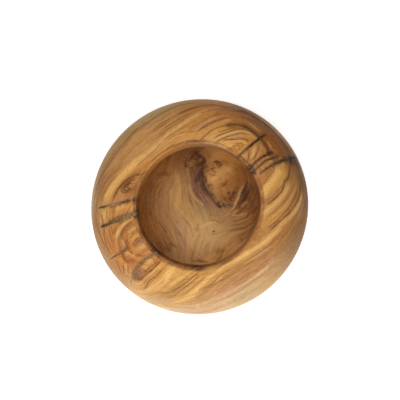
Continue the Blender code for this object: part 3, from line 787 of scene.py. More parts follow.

# %% [markdown]
# ## The inside
# The inside floor cuts deeper into the block, through an old wound: a purple-black stain
# runs round a patch of orange burl, where the tree grew over it. It is drawn in the same way.

# %% Broad tints of the inside
# Near the wall of the right-hand end the tints run darker, partly as painted shade where the wall turns away
# from the lamps.
INSIDE_TINTS = [
    (280, 420, "#6A3E24"), (240, 340, "#7C4C2C"), (200, 390, "#86522E"), (100, 380, "#8C5C38"),
    (-500, 180, "#94581A"), (-460, 300, "#905412"), (-360, 420, "#9A5C16"), (-240, 500, "#A0642E"),
    (-100, 530, "#A2662E"), (50, 530, "#A4682E"), (180, 500, "#96603A"), (-400, 180, "#A97144"),
    (-340, 320, "#A87148"), (-220, 400, "#AA754C"), (-80, 420, "#B27C4E"), (20, 400, "#BC8654"),
    (-440, 50, "#AE7546"), (-340, 80, "#BE8A56"), (-280, 200, "#B58253"), (-180, 280, "#B98857"),
    (-60, 280, "#C4915C"), (30, 280, "#BC8A58"), (-220, 50, "#B48456"), (-160, 120, "#C09056"),
    (-80, 150, "#B08254"), (-40, 40, "#A88756"), (-20, -80, "#B48E58"), (70, 420, "#A97448"),
    (130, 430, "#82502F"), (220, 440, "#7A4828"), (160, 350, "#7C5034"), (80, 220, "#7E5848"),
    (60, 100, "#8A6249"), (80, 0, "#8C664E"), (110, 300, "#624036"), (120, 120, "#745046"),
    (80, -100, "#9C7650"), (150, -180, "#A07650"), (330, 350, "#CA8C56"), (380, 380, "#E2A268"),
    (440, 280, "#DE9C5A"), (300, 290, "#CC9258"), (380, 200, "#DCA05E"), (240, 170, "#E8AC66"),
    (300, 130, "#F0B060"), (400, 130, "#ECAA5E"), (480, 160, "#CA8C4A"), (260, 60, "#C88E54"),
    (360, 60, "#BC7838"), (460, 50, "#9E622C"), (520, 20, "#9E6234"), (200, -10, "#98683A"),
    (300, -20, "#AE733E"), (400, -10, "#A06838"), (200, 100, "#A97442"), (240, -90, "#9C6B3E"),
    (330, -80, "#9C6538"), (440, -40, "#A06840"), (420, -150, "#784426"), (480, -140, "#945E3A"),
    (450, -250, "#84502E"), (350, -160, "#845430"), (250, -210, "#A26E42"), (340, -240, "#946034"),
    (240, -300, "#A06C40"), (380, -330, "#925E34"), (300, -380, "#8C5A34"), (220, -450, "#9C683E"),
    (100, -280, "#BD925C"), (140, -360, "#AC7A4C"), (30, -220, "#BE945C"), (20, -330, "#CEA068"),
    (50, -440, "#D6A068"), (120, -480, "#CE945E"), (-50, -500, "#D0985E"), (-80, -330, "#D8AC74"),
    (-160, -280, "#DEB47C"), (-200, -360, "#D8A670"), (-120, -420, "#C88A50"), (-220, -450, "#E8B276"),
    (-280, -380, "#D8AA7C"), (-360, -360, "#C28E66"), (-280, -260, "#D4A870"), (-220, -180, "#D6A868"),
    (-130, -180, "#CA985E"), (-80, -200, "#CC9E68"), (-330, -150, "#CCA07C"), (-280, -50, "#C49670"),
    (-370, -20, "#BE8A5C"), (-400, -220, "#C49468"), (-430, -120, "#A87450"), (-480, -80, "#8A5426"),
    (-500, -180, "#905A32"), (-450, -280, "#BC8A62"), (-500, 40, "#94581A"), (-170, -20, "#BC8E5A"),
]
print(len(INSIDE_TINTS), "tints")

# %% Bands and lines of the inside
INSIDE_STROKES = [
    ("straw", 0.6, 0.35, (-185, 190), (-178, 100), (-165, 0), (-160, -100), (-145, -165)),
    ("honey", 1.8, 0.5, (0, 400), (-40, 310), (-80, 250), (-130, 190), (-180, 130)),
    ("honey", 1.4, 0.4, (-140, 300), (-160, 250), (-200, 210)),
    ("tan", 1.2, 0.4, (-30, 220), (-70, 150), (-100, 80), (-110, 0), (-100, -80)),
    ("umber", 1.3, 0.35, (-20, 200), (-40, 130), (-50, 70)),
    ("umber", 0.9, 0.4, (-160, -120), (-150, -150), (-138, -172), (-125, -150), (-115, -125), (-100, -118)),
    ("chalk", 0.5, 0.5, (-145, -165), (-138, -180), (-128, -165), (-118, -140), (-100, -130)),
    ("straw", 1, 0.35, (-200, -80), (-220, -140), (-260, -200), (-300, -260), (-340, -320)),
    ("straw", 1.1, 0.6, (-240, -215), (-200, -200), (-160, -190), (-130, -200)),
    ("honey", 1.2, 0.5, (-340, -20), (-360, -80), (-385, -140), (-400, -180)),
    ("straw", 0.9, 0.4, (-110, -155), (-50, -165), (0, -175), (50, -200)),
    ("rose", 0.9, 0.4, (-220, -60), (-250, -110), (-300, -180), (-350, -260)),
    ("rose", 1, 0.35, (-290, -270), (-330, -330), (-360, -380)),
    ("umber", 0.6, 0.45, (-350, -370), (-310, -400), (-270, -430)),
    ("rust", 0.7, 0.5, (-300, -380), (-270, -420), (-240, -460)),
    ("umber", 1.4, 0.45, (-440, 20), (-445, -50), (-440, -120), (-420, -170)),
    ("walnut", 1.6, 0.5, (-530, -40), (-510, -100), (-480, -150), (-450, -170)),
    ("walnut", 1.2, 0.5, (-430, -110), (-410, -150), (-400, -180)),
    ("umber", 0.8, 0.35, (-455, 120), (-460, 50), (-455, -20)),
    ("umber", 0.7, 0.35, (-410, 120), (-400, 50), (-400, -30)),
    ("tan", 0.8, 0.4, (-460, 60), (-455, -20), (-440, -100)),
    ("walnut", 2, 0.45, (-440, 200), (-420, 280), (-370, 360), (-300, 420), (-220, 465)),
    ("umber", 1, 0.4, (-380, 240), (-340, 310), (-280, 370), (-200, 410)),
    ("umber", 0.9, 0.35, (-320, 260), (-270, 320), (-200, 360), (-140, 370)),
    ("plum", 1.4, 0.45, (-170, 485), (-130, 475), (-90, 450), (-70, 420)),
    ("umber", 1.2, 0.4, (-270, 450), (-200, 475), (-120, 465), (-70, 430)),
    ("rose", 1.2, 0.35, (-240, 440), (-170, 440), (-110, 400)),
    ("umber", 0.9, 0.35, (-20, 500), (30, 500), (70, 485)),
    ("walnut", 0.8, 0.4, (50, 510), (100, 490), (150, 455)),
    ("plum", 2.5, 0.6, (170, 320), (130, 260), (100, 200), (80, 130), (80, 60), (100, 0)),
    ("plum", 3, 0.45, (130, 300), (80, 200), (50, 100), (50, 20), (80, -50)),
    ("ink", 1.6, 0.6, (130, 200), (128, 140), (132, 80), (140, 20), (140, -40)),
    ("ink", 1.8, 0.55, (100, 220), (150, 240), (200, 270), (235, 300)),
    ("ink", 2, 0.5, (235, 290), (188, 260), (148, 210), (149, 160), (150, 100)),
    ("bark", 1.1, 0.85, (252, 468), (264, 440), (264, 415), (275, 390), (290, 365), (292, 345)),
    ("bark", 1.5, 0.8, (290, 350), (265, 340), (240, 343), (215, 345), (195, 330)),
    ("bark", 0.9, 0.7, (290, 340), (265, 326), (240, 322), (220, 312)),
    ("bark", 0.9, 0.75, (222, 310), (240, 295), (262, 290), (280, 300)),
    ("bark", 0.8, 0.75, (220, 300), (205, 270), (195, 235), (200, 205), (190, 180), (175, 165)),
    ("ink", 1.1, 0.7, (200, 250), (180, 200), (170, 170), (155, 155)),
    ("ink", 1.1, 0.85, (150, 205), (156, 190), (157, 175)),
    ("tan", 0.7, 0.6, (110, 198), (125, 200), (137, 190)),
    ("bark", 0.8, 0.55, (170, 130), (200, 120), (215, 115)),
    ("umber", 1.4, 0.55, (175, 140), (172, 100), (175, 60)),
    ("ink", 1.1, 0.65, (150, 160), (146, 110), (152, 60), (160, 20)),
    ("ink", 0.9, 0.8, (137, -30), (142, -70), (155, -98), (190, -113), (220, -125), (250, -145),
        (275, -148)),
    ("ink", 1.6, 0.5, (140, -60), (165, -100), (210, -125), (255, -150)),
    ("bark", 2, 0.85, (290, -178), (330, -172), (370, -152), (405, -130), (440, -105)),
    ("walnut", 1.4, 0.6, (260, -200), (320, -195), (380, -180), (430, -150)),
    ("ink", 1.6, 0.65, (400, -130), (440, -100), (475, -80), (495, -70)),
    ("bark", 1.5, 0.5, (360, -185), (400, -160), (440, -140), (480, -110)),
    ("bark", 1, 0.4, (500, -50), (505, -100), (500, -160)),
    ("walnut", 1.8, 0.4, (420, -200), (440, -250), (420, -300)),
    ("umber", 1.4, 0.4, (470, -180), (460, -240), (430, -300)),
    ("honey", 0.6, 0.85, (460, -52), (430, -65), (400, -85), (375, -100), (350, -125), (310, -143),
        (285, -165), (250, -183), (210, -192), (160, -198)),
    ("straw", 0.4, 0.6, (400, -83), (370, -105), (340, -130), (300, -150), (275, -172)),
    ("honey", 1.4, 0.5, (220, -200), (260, -215), (280, -210)),
    ("honey", 1, 0.45, (320, -210), (360, -205), (400, -200)),
    ("bark", 0.8, 0.5, (205, -195), (250, -200), (290, -190)),
    ("plum", 1, 0.5, (220, -250), (260, -245), (300, -240)),
    ("umber", 0.8, 0.45, (300, -240), (340, -225), (380, -220)),
    ("honey", 0.8, 0.5, (200, -225), (240, -255), (280, -275), (330, -275)),
    ("honey", 0.7, 0.45, (200, -285), (250, -295), (300, -295), (340, -285)),
    ("honey", 0.8, 0.55, (190, -310), (250, -330), (310, -338), (360, -330)),
    ("umber", 0.7, 0.45, (180, -290), (240, -312), (300, -318), (350, -308)),
    ("umber", 0.8, 0.4, (170, -330), (240, -350), (310, -357), (370, -350)),
    ("honey", 0.6, 0.35, (100, -310), (180, -345), (260, -372), (330, -375)),
    ("umber", 0.7, 0.35, (100, -330), (180, -370), (260, -395), (330, -400)),
    ("honey", 0.6, 0.3, (60, -340), (140, -385), (220, -415), (300, -425)),
    ("olive", 1.5, 0.5, (20, -200), (50, -240), (100, -255), (140, -245)),
    ("tan", 0.7, 0.4, (0, -140), (50, -185), (100, -220), (150, -235)),
    ("tan", 0.7, 0.4, (20, -80), (60, -130), (110, -165), (160, -180)),
    ("honey", 0.6, 0.35, (115, 385), (90, 350), (75, 310), (55, 260)),
    ("honey", 0.5, 0.3, (110, 380), (88, 340), (73, 310)),
    ("honey", 0.6, 0.75, (35, 250), (20, 200), (8, 140), (10, 80), (25, 30), (40, -10)),
    ("umber", 0.6, 0.5, (55, 200), (40, 130), (45, 60)),
    ("bark", 0.6, 0.8, (-37, -250), (-25, -257), (-16, -262)),
    ("chalk", 0.7, 0.4, (-35, -238), (-25, -240)),
    ("chalk", 0.5, 0.8, (-6, -455), (2, -460)),
    ("chalk", 0.5, 0.6, (-421, -172), (-414, -170)),
    ("umber", 1.8, 0.45, (-120, -430), (-80, -440), (-50, -460)),
    ("umber", 1.2, 0.4, (-90, -480), (-120, -500), (-160, -490)),
    ("honey", 1, 0.4, (0, -430), (30, -420), (60, -425)),
    ("umber", 0.8, 0.35, (140, -440), (150, -470), (130, -500)),
    ("umber", 1.2, 0.35, (-300, -420), (-260, -440), (-240, -470)),
    ("straw", 1, 0.5, (-260, -410), (-240, -430), (-250, -450)),
    ("rust", 1.8, 0.6, (440, 120), (490, 110), (520, 70)),
    ("rust", 1.2, 0.4, (400, 35), (450, 60), (500, 65)),
    ("orange", 0.8, 0.2, (220, 45), (280, 35), (350, 35), (410, 40)),
    ("umber", 0.9, 0.6, (280, 70), (300, 65), (325, 62)),
    ("straw", 2.2, 0.6, (220, 165), (280, 150), (350, 145), (420, 145), (470, 150)),
    ("honey", 1.6, 0.5, (230, 120), (300, 105), (380, 100), (440, 110)),
    ("russet", 0.8, 0.5, (235, 262), (250, 250), (262, 238)),
    ("russet", 0.8, 0.6, (285, 250), (300, 240), (310, 228)),
    ("russet", 0.8, 0.45, (245, 215), (262, 205)),
    ("russet", 0.8, 0.5, (290, 220), (300, 205), (318, 200)),
    ("walnut", 0.8, 0.5, (265, 48), (300, 45), (330, 50)),
    ("walnut", 0.8, 0.5, (170, -45), (185, -55), (200, -70)),
    ("walnut", 0.8, 0.5, (220, -60), (240, -55), (260, -60)),
    ("walnut", 0.8, 0.5, (300, -75), (320, -80), (345, -85)),
    ("walnut", 0.8, 0.45, (370, -45), (390, -50), (400, -60)),
    ("russet", 1.2, 0.8, (352, 272), (370, 262), (385, 245)),
    ("bark", 0.5, 0.8, (340, 277), (360, 280), (380, 268), (393, 245), (390, 228)),
    ("bark", 0.9, 0.7, (350, 217), (365, 213), (385, 222), (405, 218)),
    ("russet", 0.8, 0.6, (355, 250), (368, 240), (378, 235)),
    ("russet", 1.2, 0.55, (280, 235), (310, 242), (335, 232)),
    ("bark", 0.5, 0.6, (318, 263), (325, 258)),
    ("russet", 0.8, 0.6, (258, 195), (275, 182), (290, 180)),
    ("umber", 0.5, 0.6, (300, 203), (310, 200)),
    ("umber", 0.8, 0.6, (150, -55), (163, -60), (170, -75)),
    ("umber", 0.7, 0.6, (255, -75), (270, -83), (280, -80)),
    ("umber", 0.6, 0.5, (325, -50), (335, -60)),
    ("umber", 0.8, 0.6, (355, -60), (370, -67)),
    ("umber", 0.6, 0.5, (280, -40), (295, -45)),
    ("bark", 0.6, 1, (288, -28), (300, -34), (308, -46)),
    ("bark", 0.5, 1, (292, -60), (302, -74)),
    ("bark", 0.6, 1, (325, -55), (334, -64), (336, -78)),
    ("bark", 0.65, 1, (350, -60), (360, -72)),
    ("bark", 0.55, 1, (272, -75), (283, -84), (279, -98)),
    ("bark", 0.5, 1, (304, -96), (318, -106)),
    ("bark", 0.5, 1, (274, -110), (288, -119)),
    ("bark", 0.65, 1, (154, -55), (164, -62), (172, -73)),
    ("bark", 0.5, 1, (194, -86), (208, -100)),
    ("straw", 0.4, 0.5, (145, 430), (155, 400), (150, 375)),
    ("straw", 0.4, 0.45, (175, 420), (190, 400), (205, 390)),
    ("bark", 0.8, 0.6, (118, 445), (112, 415), (105, 395)),
    ("bark", 0.6, 0.8, (142, 438), (152, 430)),
    ("bark", 0.6, 0.7, (205, 452), (212, 436), (220, 425)),
    ("bark", 0.8, 0.7, (235, 440), (248, 432), (258, 420)),
    ("bark", 0.8, 0.6, (225, 400), (235, 390)),
    ("tan", 0.8, 0.4, (130, 420), (140, 395), (135, 370)),
    ("tan", 0.8, 0.35, (165, 420), (175, 390), (170, 360)),
    ("ink", 0.8, 0.7, (268, 410), (277, 395), (290, 375)),
    ("ink", 0.9, 0.6, (245, 400), (262, 398), (275, 393)),
    ("amber", 0.9, 0.5, (250, 375), (260, 370)),
    ("bark", 0.6, 0.9, (122, 428), (118, 418)),
    ("bark", 0.6, 0.9, (115, 404), (113, 396)),
    ("honey", 0.8, 0.4, (318, 370), (325, 350), (315, 330)),
    ("umber", 0.8, 0.5, (140, 440), (155, 430), (160, 410)),
    ("bark", 0.8, 0.45, (215, 430), (230, 410), (245, 395)),
    ("rust", 1, 0.5, (320, 400), (340, 370), (330, 340)),
    ("umber", 0.8, 0.5, (310, 345), (335, 340), (360, 360)),
    ("rust", 1.2, 0.4, (400, 250), (430, 220), (450, 200)),
]

# Where the burl shows its small dark buds: place and radius.
BURL_PATCHES = [
    (140, 370, 60), (200, 380, 60), (240, 340, 50), (370, 250, 45), (300, 230, 50), (330, 80, 50),
    (270, 190, 35), (330, -60, 60), (170, -60, 35), (270, -80, 40), (160, 430, 60), (240, 430, 60),
    (280, 350, 50), (220, 300, 40), (300, -220, 90), (400, -150, 60), (240, -230, 50), (330, 380, 40),
    (-280, -380, 40), (160, 170, 30), (200, 100, 30),
]

# Lines that the growth layers of the inside run along, each with its layer in millimetres.
INSIDE_LAYERS = [
    (12, (-520, -120), (-500, 50), (-490, 180), (-440, 300), (-360, 400), (-250, 480), (-100, 530)),
    (8, (-450, -180), (-445, -50), (-440, 80), (-410, 200), (-360, 300), (-280, 400), (-170, 455),
        (-80, 440)),
    (5, (-380, -170), (-370, -50), (-360, 80), (-330, 200), (-270, 300), (-200, 370), (-120, 390)),
    (2.5, (-330, -280), (-300, -150), (-290, 0), (-280, 100), (-240, 200), (-180, 280), (-100, 320)),
    (0, (-250, -220), (-200, -100), (-185, 20), (-180, 120), (-120, 200), (-50, 300), (0, 400)),
    (-2, (-140, -180), (-120, -80), (-110, 20), (-80, 120), (-30, 220), (40, 330), (100, 450)),
    (-4.5, (-80, -170), (-30, -80), (0, 30), (10, 140), (50, 250), (110, 370)),
    (-7, (0, -170), (40, -100), (55, 0), (60, 100), (90, 200), (150, 310), (200, 400)),
    (-10, (80, -220), (100, -120), (110, 0), (120, 100), (130, 190), (190, 280)),
    (-6, (-300, -400), (-150, -320), (0, -270), (120, -290), (220, -320), (320, -335), (400, -310)),
    (-3, (-200, -470), (-50, -380), (80, -380), (200, -410), (300, -420)),
    (-8, (150, -260), (220, -280), (320, -285), (420, -250)),
    (-13, (160, -200), (240, -190), (310, -150), (380, -100), (470, -50)),
]
print(len(INSIDE_STROKES), "strokes,", len(BURL_PATCHES), "patches of burl")

# %% [markdown]
# ## The lip
# The lip is end grain and long grain by turns, and its edges are painted darker: partly as
# shade where the rounded edges turn away from the light, partly as dark marks by the cracks.
# It is too steep to be drawn in plan, so its tints are given by the angle from +X in degrees.

# %% Tints and edges of the lip
# Each entry is an angle, then the tint of the upper and of the lower edge.
LIP_TINTS = [
    (0, "#7A4C2C", "#6A442A"), (3, "#5A3A22", "#4E3420"), (7, "#8E5A36", "#8A5636"),
    (14, "#9A6640", "#74482C"), (17, "#74502E", "#7A5232"), (20, "#9C6C44", "#744C2E"),
    (30, "#9E6E46", "#765034"), (45, "#9A6E48", "#7E583C"), (60, "#9E6E42", "#8E6440"),
    (75, "#A8723E", "#A0703E"), (90, "#AC763E", "#A6723E"), (105, "#B07236", "#A06C38"),
    (120, "#A2662E", "#8A5628"), (135, "#965C2A", "#845028"), (140, "#5A3A20", "#4E321C"),
    (144, "#8A5224", "#744422"), (148, "#7A4820", "#643C20"), (151, "#38220F", "#2E1E10"),
    (155, "#442810", "#38240F"), (159, "#9A5C2A", "#744424"), (167, "#9A5A28", "#7A4824"),
    (173, "#6E3E1C", "#5C3418"), (180, "#8E5428", "#744628"), (188, "#7A4420", "#623A1C"),
    (193, "#422810", "#38220F"), (197, "#4E3014", "#442A14"), (202, "#8E5426", "#6E4222"),
    (208, "#A4682E", "#7E4E26"), (214, "#8A5424", "#7A4C26"), (220, "#A86E32", "#8A5A2C"),
    (227, "#8A5826", "#7E5228"), (232, "#4E2E12", "#5E3C1C"), (238, "#5E3A18", "#7A5028"),
    (244, "#946030", "#96683A"), (255, "#A87442", "#A07244"), (270, "#B27E48", "#A47648"),
    (285, "#AC7642", "#9A6E44"), (300, "#BA8450", "#98683E"), (315, "#B07C46", "#845430"),
    (328, "#9C6034", "#704226"), (338, "#7C4420", "#5E3820"), (348, "#94582E", "#684026"),
    (354, "#8E5A36", "#6A4428"), (357, "#543620", "#4A3020"),
]

# Strokes along the upper edge, partly painted shade where the rounded arris turns away from the light and
# partly dark marks by the cracks: from angle, to angle, colour, half width in mm, strength.
LIP_EDGE = [
    (-12, 12, "umber", 1, 0.5), (12, 30, "umber", 0.9, 0.5), (28, 64, "ash", 1.2, 0.6),
    (60, 115, "rust", 1.5, 0.5), (44, 82, "umber", 1.6, 0.55), (50, 68, "plum", 1, 0.45),
    (110, 140, "umber", 1.2, 0.7), (136, 158, "bark", 0.9, 0.7), (155, 185, "umber", 1.4, 0.65),
    (166, 190, "bark", 0.5, 0.4), (178, 205, "umber", 1.4, 0.75), (180, 200, "walnut", 0.8, 0.4),
    (200, 228, "umber", 1.5, 0.8), (208, 224, "bark", 0.5, 0.6), (222, 245, "walnut", 1.5, 0.75),
    (229, 241, "bark", 1, 0.9), (243, 278, "umber", 1.3, 0.55), (258, 268, "walnut", 1, 0.5),
    (272, 302, "rust", 1.3, 0.6), (298, 330, "umber", 1.3, 0.6), (325, 352, "umber", 1.5, 0.8),
    (310, 350, "walnut", 0.6, 0.6), (168, 178, "bark", 0.8, 0.35), (188, 196, "ink", 1.2, 0.6),
    (150, 155, "ink", 1.4, 0.6), (354, 366, "bark", 1, 0.5), (354, 365, "ink", 1.1, 0.75),
    (6, 19, "bark", 0.8, 0.6),
]

# Along the lower edge: a line of painted shade on the right, where the lip turns under into the inside, and
# lines of painted highlight on the left, where the arris catches the light.
LOWER_LIP_EDGE = [
    (95, 255, "tan", 0.8, 0.5), (-5, 60, "bark", 0.8, 0.45), (66, 122, "chalk", 0.8, 0.4),
]
print(len(LIP_TINTS), "places on the lip")

# %% [markdown]
# ## From drawing to wood
# A texture would need a picture, and this bowl has none. So the drawing is mixed into the
# vertices, which lie about a millimetre apart where it is seen. Each place in plan is dropped
# onto the shoulder or the inside, and distances are measured in space.


# %% Surfaces that the drawing is dropped onto
def shoulder_height(share):
    """Height of the shoulder at a share of the body's radius."""
    return GIRTH_HEIGHT + SHOULDER_RISE * np.sqrt(np.clip(1 - share * share, 0, 1))


def inside_height(share):
    """Height of the inside floor at a share of the body's radius."""
    part = np.clip(share * BODY_RADIUS / (BODY_RADIUS - WALL), 0, 1)
    depth = GIRTH_HEIGHT - FLOOR_THICKNESS
    return GIRTH_HEIGHT - depth * (1 - part ** FLOOR_FULLNESS) ** (1 / FLOOR_FULLNESS)


def dropped(plan, height):
    """Places in millimetres on a surface, from places in plan."""
    plan = np.asarray(plan, float) / 1000
    share = np.hypot(plan[:, 0], plan[:, 1] / (1 - SHRINKAGE))
    return np.column_stack([plan * BODY_RADIUS, height(np.minimum(share, 0.999))]) / MM


print("the inside lies", round(inside_height(0.5) / MM, 1), "mm up, half-way out")


# %% Strokes as smooth paths
def smooth_path(points, spacing=1.2):
    """A smooth curve through the points, as short straight steps (Catmull-Rom)."""
    knots = np.vstack([2 * points[0] - points[1], points, 2 * points[-1] - points[-2]])
    path = []
    for a, b, c, d in zip(knots, knots[1:], knots[2:], knots[3:]):
        count = max(1, int(np.linalg.norm(c - b) / spacing))
        for step in range(count):
            t = step / count
            path.append(0.5 * (2 * b + (c - a) * t + (2 * a - 5 * b + 4 * c - d) * t * t
                               + (3 * b - a - 3 * c + d) * t ** 3))
    path.append(points[-1])
    return np.array(path)


def near_path(places, path, reach):
    """Places within reach of a path: their numbers, distance, share of its length and side."""
    low, high = path.min(0) - reach, path.max(0) + reach
    near = np.flatnonzero(np.all((places > low) & (places < high), axis=1))
    here = places[near]
    best = np.full(len(near), np.inf)
    along = np.zeros(len(near))
    cross = np.zeros((len(near), 3))
    for number, (a, b) in enumerate(zip(path, path[1:])):
        line = b - a
        part = np.clip((here - a) @ line / (line @ line + 1e-9), 0, 1)
        off = here - a - part[:, None] * line
        gap = np.linalg.norm(off, axis=1)
        closer = gap < best
        best[closer] = gap[closer]
        along[closer] = (number + part[closer]) / (len(path) - 1)
        cross[closer] = np.cross(line, off[closer])
    return near, best, along, cross


first_path = smooth_path(dropped(UPPER_SIDE[0][3:], shoulder_height))
print("places along the first stroke:", len(first_path))


# %% Tints and broad strokes
FINE = 0.7      # half width in millimetres, up to which a stroke is kept as a fine line
BATCH = 4000    # places that are worked on together, to spare memory


def blend_tints(places, tints, height, softness=7.0):
    """Broad tints: near a named place its own colour, in between a smooth mixture."""
    centres = dropped([tint[:2] for tint in tints], height)
    shades = np.array([linear(tint[2]) for tint in tints])
    blended = np.zeros((len(places), 3))
    for start in range(0, len(places), BATCH):
        part = places[start:start + BATCH]
        square = ((part[:, None, :] - centres[None]) ** 2).sum(2)
        weight = np.exp(-square / (2 * softness ** 2)) + 1e-9 / (1 + square)
        blended[start:start + BATCH] = (weight @ shades) / weight.sum(1)[:, None]
    return blended


def paint_stroke(colours, places, stroke, height):
    """Mix one stroke's colour into the places near it. A fine line leaves a faint shade."""
    name, half_width, strength, *plan = stroke
    if half_width <= FINE:
        half_width, strength = 2 * half_width, 0.25 * strength
    path = smooth_path(dropped(plan, height))
    near, best, along, _ = near_path(places, path, half_width * 2)
    taper = np.clip(np.minimum(along, 1 - along) / 0.14 + 0.25, 0, 1)
    amount = strength ** 0.7 * taper * np.exp(-(best / half_width) ** 3)
    colours[near] += (np.array(linear(WOOD[name])) - colours[near]) * amount[:, None]


print("broad strokes inside:", sum(stroke[1] > FINE for stroke in INSIDE_STROKES))

# %% [markdown]
# ## Fine lines
# Lines thinner than the mesh can hold as colours are kept another way: each vertex stores
# how far it lies to the left or right of the line, in millimetres. That runs evenly through
# zero across the line, so the material can draw it sharp. Lines that lie close together go
# on different sheets, so that their distances do not mix.

# %% Fine lines
FINE_REACH = 2.0    # millimetres to either side of a line in which its distance is kept
NO_LINE = (5.0, 0.0, 0.4)    # distance, depth and half width where a sheet has no line
LINE_DEPTH = {
    "bark": 1.0, "ink": 1.0, "walnut": 0.95, "plum": 0.8, "umber": 0.8, "rust": 0.6,
    "ash": 0.5, "tan": 0.4, "rose": 0.4, "olive": 0.3, "amber": -0.35, "orange": -0.5,
    "honey": -0.55, "cream": -0.6, "straw": -0.8, "chalk": -1.0,
}


def sort_onto_sheets(paths):
    """Number a sheet for each path, so that no two on one sheet come near each other."""
    sheets = []
    for number, path in enumerate(paths):
        taken = set()
        for other, sheet in zip(paths[:number], sheets):
            gap = np.linalg.norm(path[:, None] - other[None], axis=2).min()
            if gap < 2 * FINE_REACH + 1.2:
                taken.add(sheet)
        sheets.append(min(set(range(len(paths))) - taken))
    return sheets


def draw_fine_lines(places, normals, strokes, height, surface):
    """For each sheet: signed distance, depth (dark above 0, pale below) and half width."""
    fine = [stroke for stroke in strokes if stroke[1] <= FINE]
    paths = [smooth_path(dropped(plan, height), 0.8) for _, _, _, *plan in fine]
    sheets = sort_onto_sheets(paths)
    fields = [np.tile(NO_LINE, (len(places), 1)) for _ in range(max(sheets) + 1)]
    for (name, half_width, strength, *_), path, sheet in zip(fine, paths, sheets):
        near, best, along, cross = near_path(places, path, FINE_REACH)
        keep = (best < FINE_REACH) & surface[near]
        near, best, along, cross = near[keep], best[keep], along[keep], cross[keep]
        side = np.sign((cross * normals[near]).sum(1))
        taper = np.clip(np.minimum(along, 1 - along) / 0.12, 0, 1)
        fields[sheet][near, 0] = best * side
        fields[sheet][near, 1] = LINE_DEPTH[name] * strength ** 0.6 * taper
        fields[sheet][near, 2] = half_width
    return fields


print("fine lines inside:", sum(stroke[1] <= FINE for stroke in INSIDE_STROKES))

# %% [markdown]
# ## Growth layers
# Away from knots, the growth layers of a log are rings round its pith. The block was cut so
# that the pith ran along the grain, a little above the mouth: the rings cross the top as
# bands and close round the ends as arches. Each long stroke above lies in one layer, so a
# smooth field bends the rings until every stroke keeps one distance from the pith.

# %% A smooth field between scattered values
def surface_field(places, centres, values, smoothing=2.0, roundness=7.0):
    """A smooth field near scattered values: rounded cones with a linear part."""
    count = len(centres)
    gap = np.sqrt(((centres[:, None] - centres[None]) ** 2).sum(2) + roundness ** 2)
    flat = np.column_stack([np.ones(count), centres])
    system = np.zeros((count + 4, count + 4))
    system[:count, :count] = -gap + smoothing * np.eye(count)
    system[:count, count:] = flat
    system[count:, :count] = flat.T
    solution = np.linalg.lstsq(system, np.concatenate([values, np.zeros(4)]), rcond=None)[0]
    field = np.empty(len(places))
    for start in range(0, len(places), BATCH):
        part = places[start:start + BATCH]
        gap = np.sqrt(((part[:, None] - centres[None]) ** 2).sum(2) + roundness ** 2)
        slope = part @ solution[count + 1:]
        field[start:start + BATCH] = -gap @ solution[:count] + solution[count] + slope
    return field


ends = np.array([[0.0, 0.0, 0.0], [10.0, 0.0, 0.0]])
print("half-way between 0 and 1:", surface_field(ends[1:] / 2, ends, np.array([0.0, 1.0])).round(2))


# %% Rings round the pith
PITH_ACROSS = 7.0      # millimetres off the middle, across the grain
PITH_HEIGHT = 130.0    # millimetres above the table
INSIDE_START = 100     # the inside counts its layers from here
# Half length, half width and height in millimetres of a ring on the belly, where the layers
# are left as they are.
BELLY_RING = (73, 71, 30)
SHOULDER_STROKES = UPPER_SIDE + RIGHT_END + LOWER_SIDE + LEFT_END


def ring_distance(places):
    return np.hypot(places[:, 1] - PITH_ACROSS, places[:, 2] - PITH_HEIGHT)


def shoulder_layers(places):
    """Rings round the pith, bent to follow the long strokes, and left as they are below."""
    centres, values = [], []
    for _, _, _, *plan in SHOULDER_STROKES:
        if len(plan) < 4:
            continue
        path = dropped(plan, shoulder_height)
        distance = ring_distance(path)
        centres.append(path)
        values.append(distance.mean() - distance)
    rim = np.radians(np.arange(0, 360, 15))
    half_length, half_width, level = BELLY_RING
    centres.append(np.column_stack([half_length * np.cos(rim), half_width * np.sin(rim),
                                    np.full(len(rim), level)]))
    values.append(np.zeros(len(rim)))
    bend = surface_field(places, np.vstack(centres), np.concatenate(values))
    return ring_distance(places) + bend


def inside_layers(places):
    centres, values = [], []
    for layer, *plan in INSIDE_LAYERS:
        path = dropped(plan, inside_height)
        centres.append(path)
        values.append(np.full(len(path), layer))
    return INSIDE_START + surface_field(places, np.vstack(centres), np.concatenate(values), 1.0)


print("strokes that the layers can follow:", len(SHOULDER_STROKES))


# %% [markdown]
# ## Painting the bowl
# Now the vertices are sorted into inside and outside, and each part gets its colours: the
# belly by rule, the shoulder, the inside and the lip from the drawing. A hand wavers as it
# draws, so the places are first shifted by a tenth of a millimetre or two.


# %% Read the vertices
def read_vertices(mesh, name):
    values = np.empty(len(mesh.vertices) * 3, np.float32)
    mesh.vertices.foreach_get(name, values)
    return values.reshape(-1, 3).astype(float)


def ripple(places, size, seed):
    """Smooth noise about 0, made of 16 plane waves about one size long, in millimetres."""
    random = np.random.default_rng(seed)
    total = np.zeros(len(places))
    for _ in range(16):
        direction = random.normal(size=places.shape[1])
        direction /= np.linalg.norm(direction) * size * random.uniform(0.6, 1.6)
        total += np.sin(2 * math.pi * (places @ direction) + random.uniform(0, 2 * math.pi))
    return total / 4


WAVER = 0.13    # millimetres
places = read_vertices(bowl.data, "co") / MM
normals = read_vertices(bowl.data, "normal")
drawn = places + np.column_stack([ripple(places, 9.0, seed) for seed in (11, 12, 13)]) * WAVER
print("the drawing wavers by up to", round(np.abs(drawn - places).max(), 2), "mm")

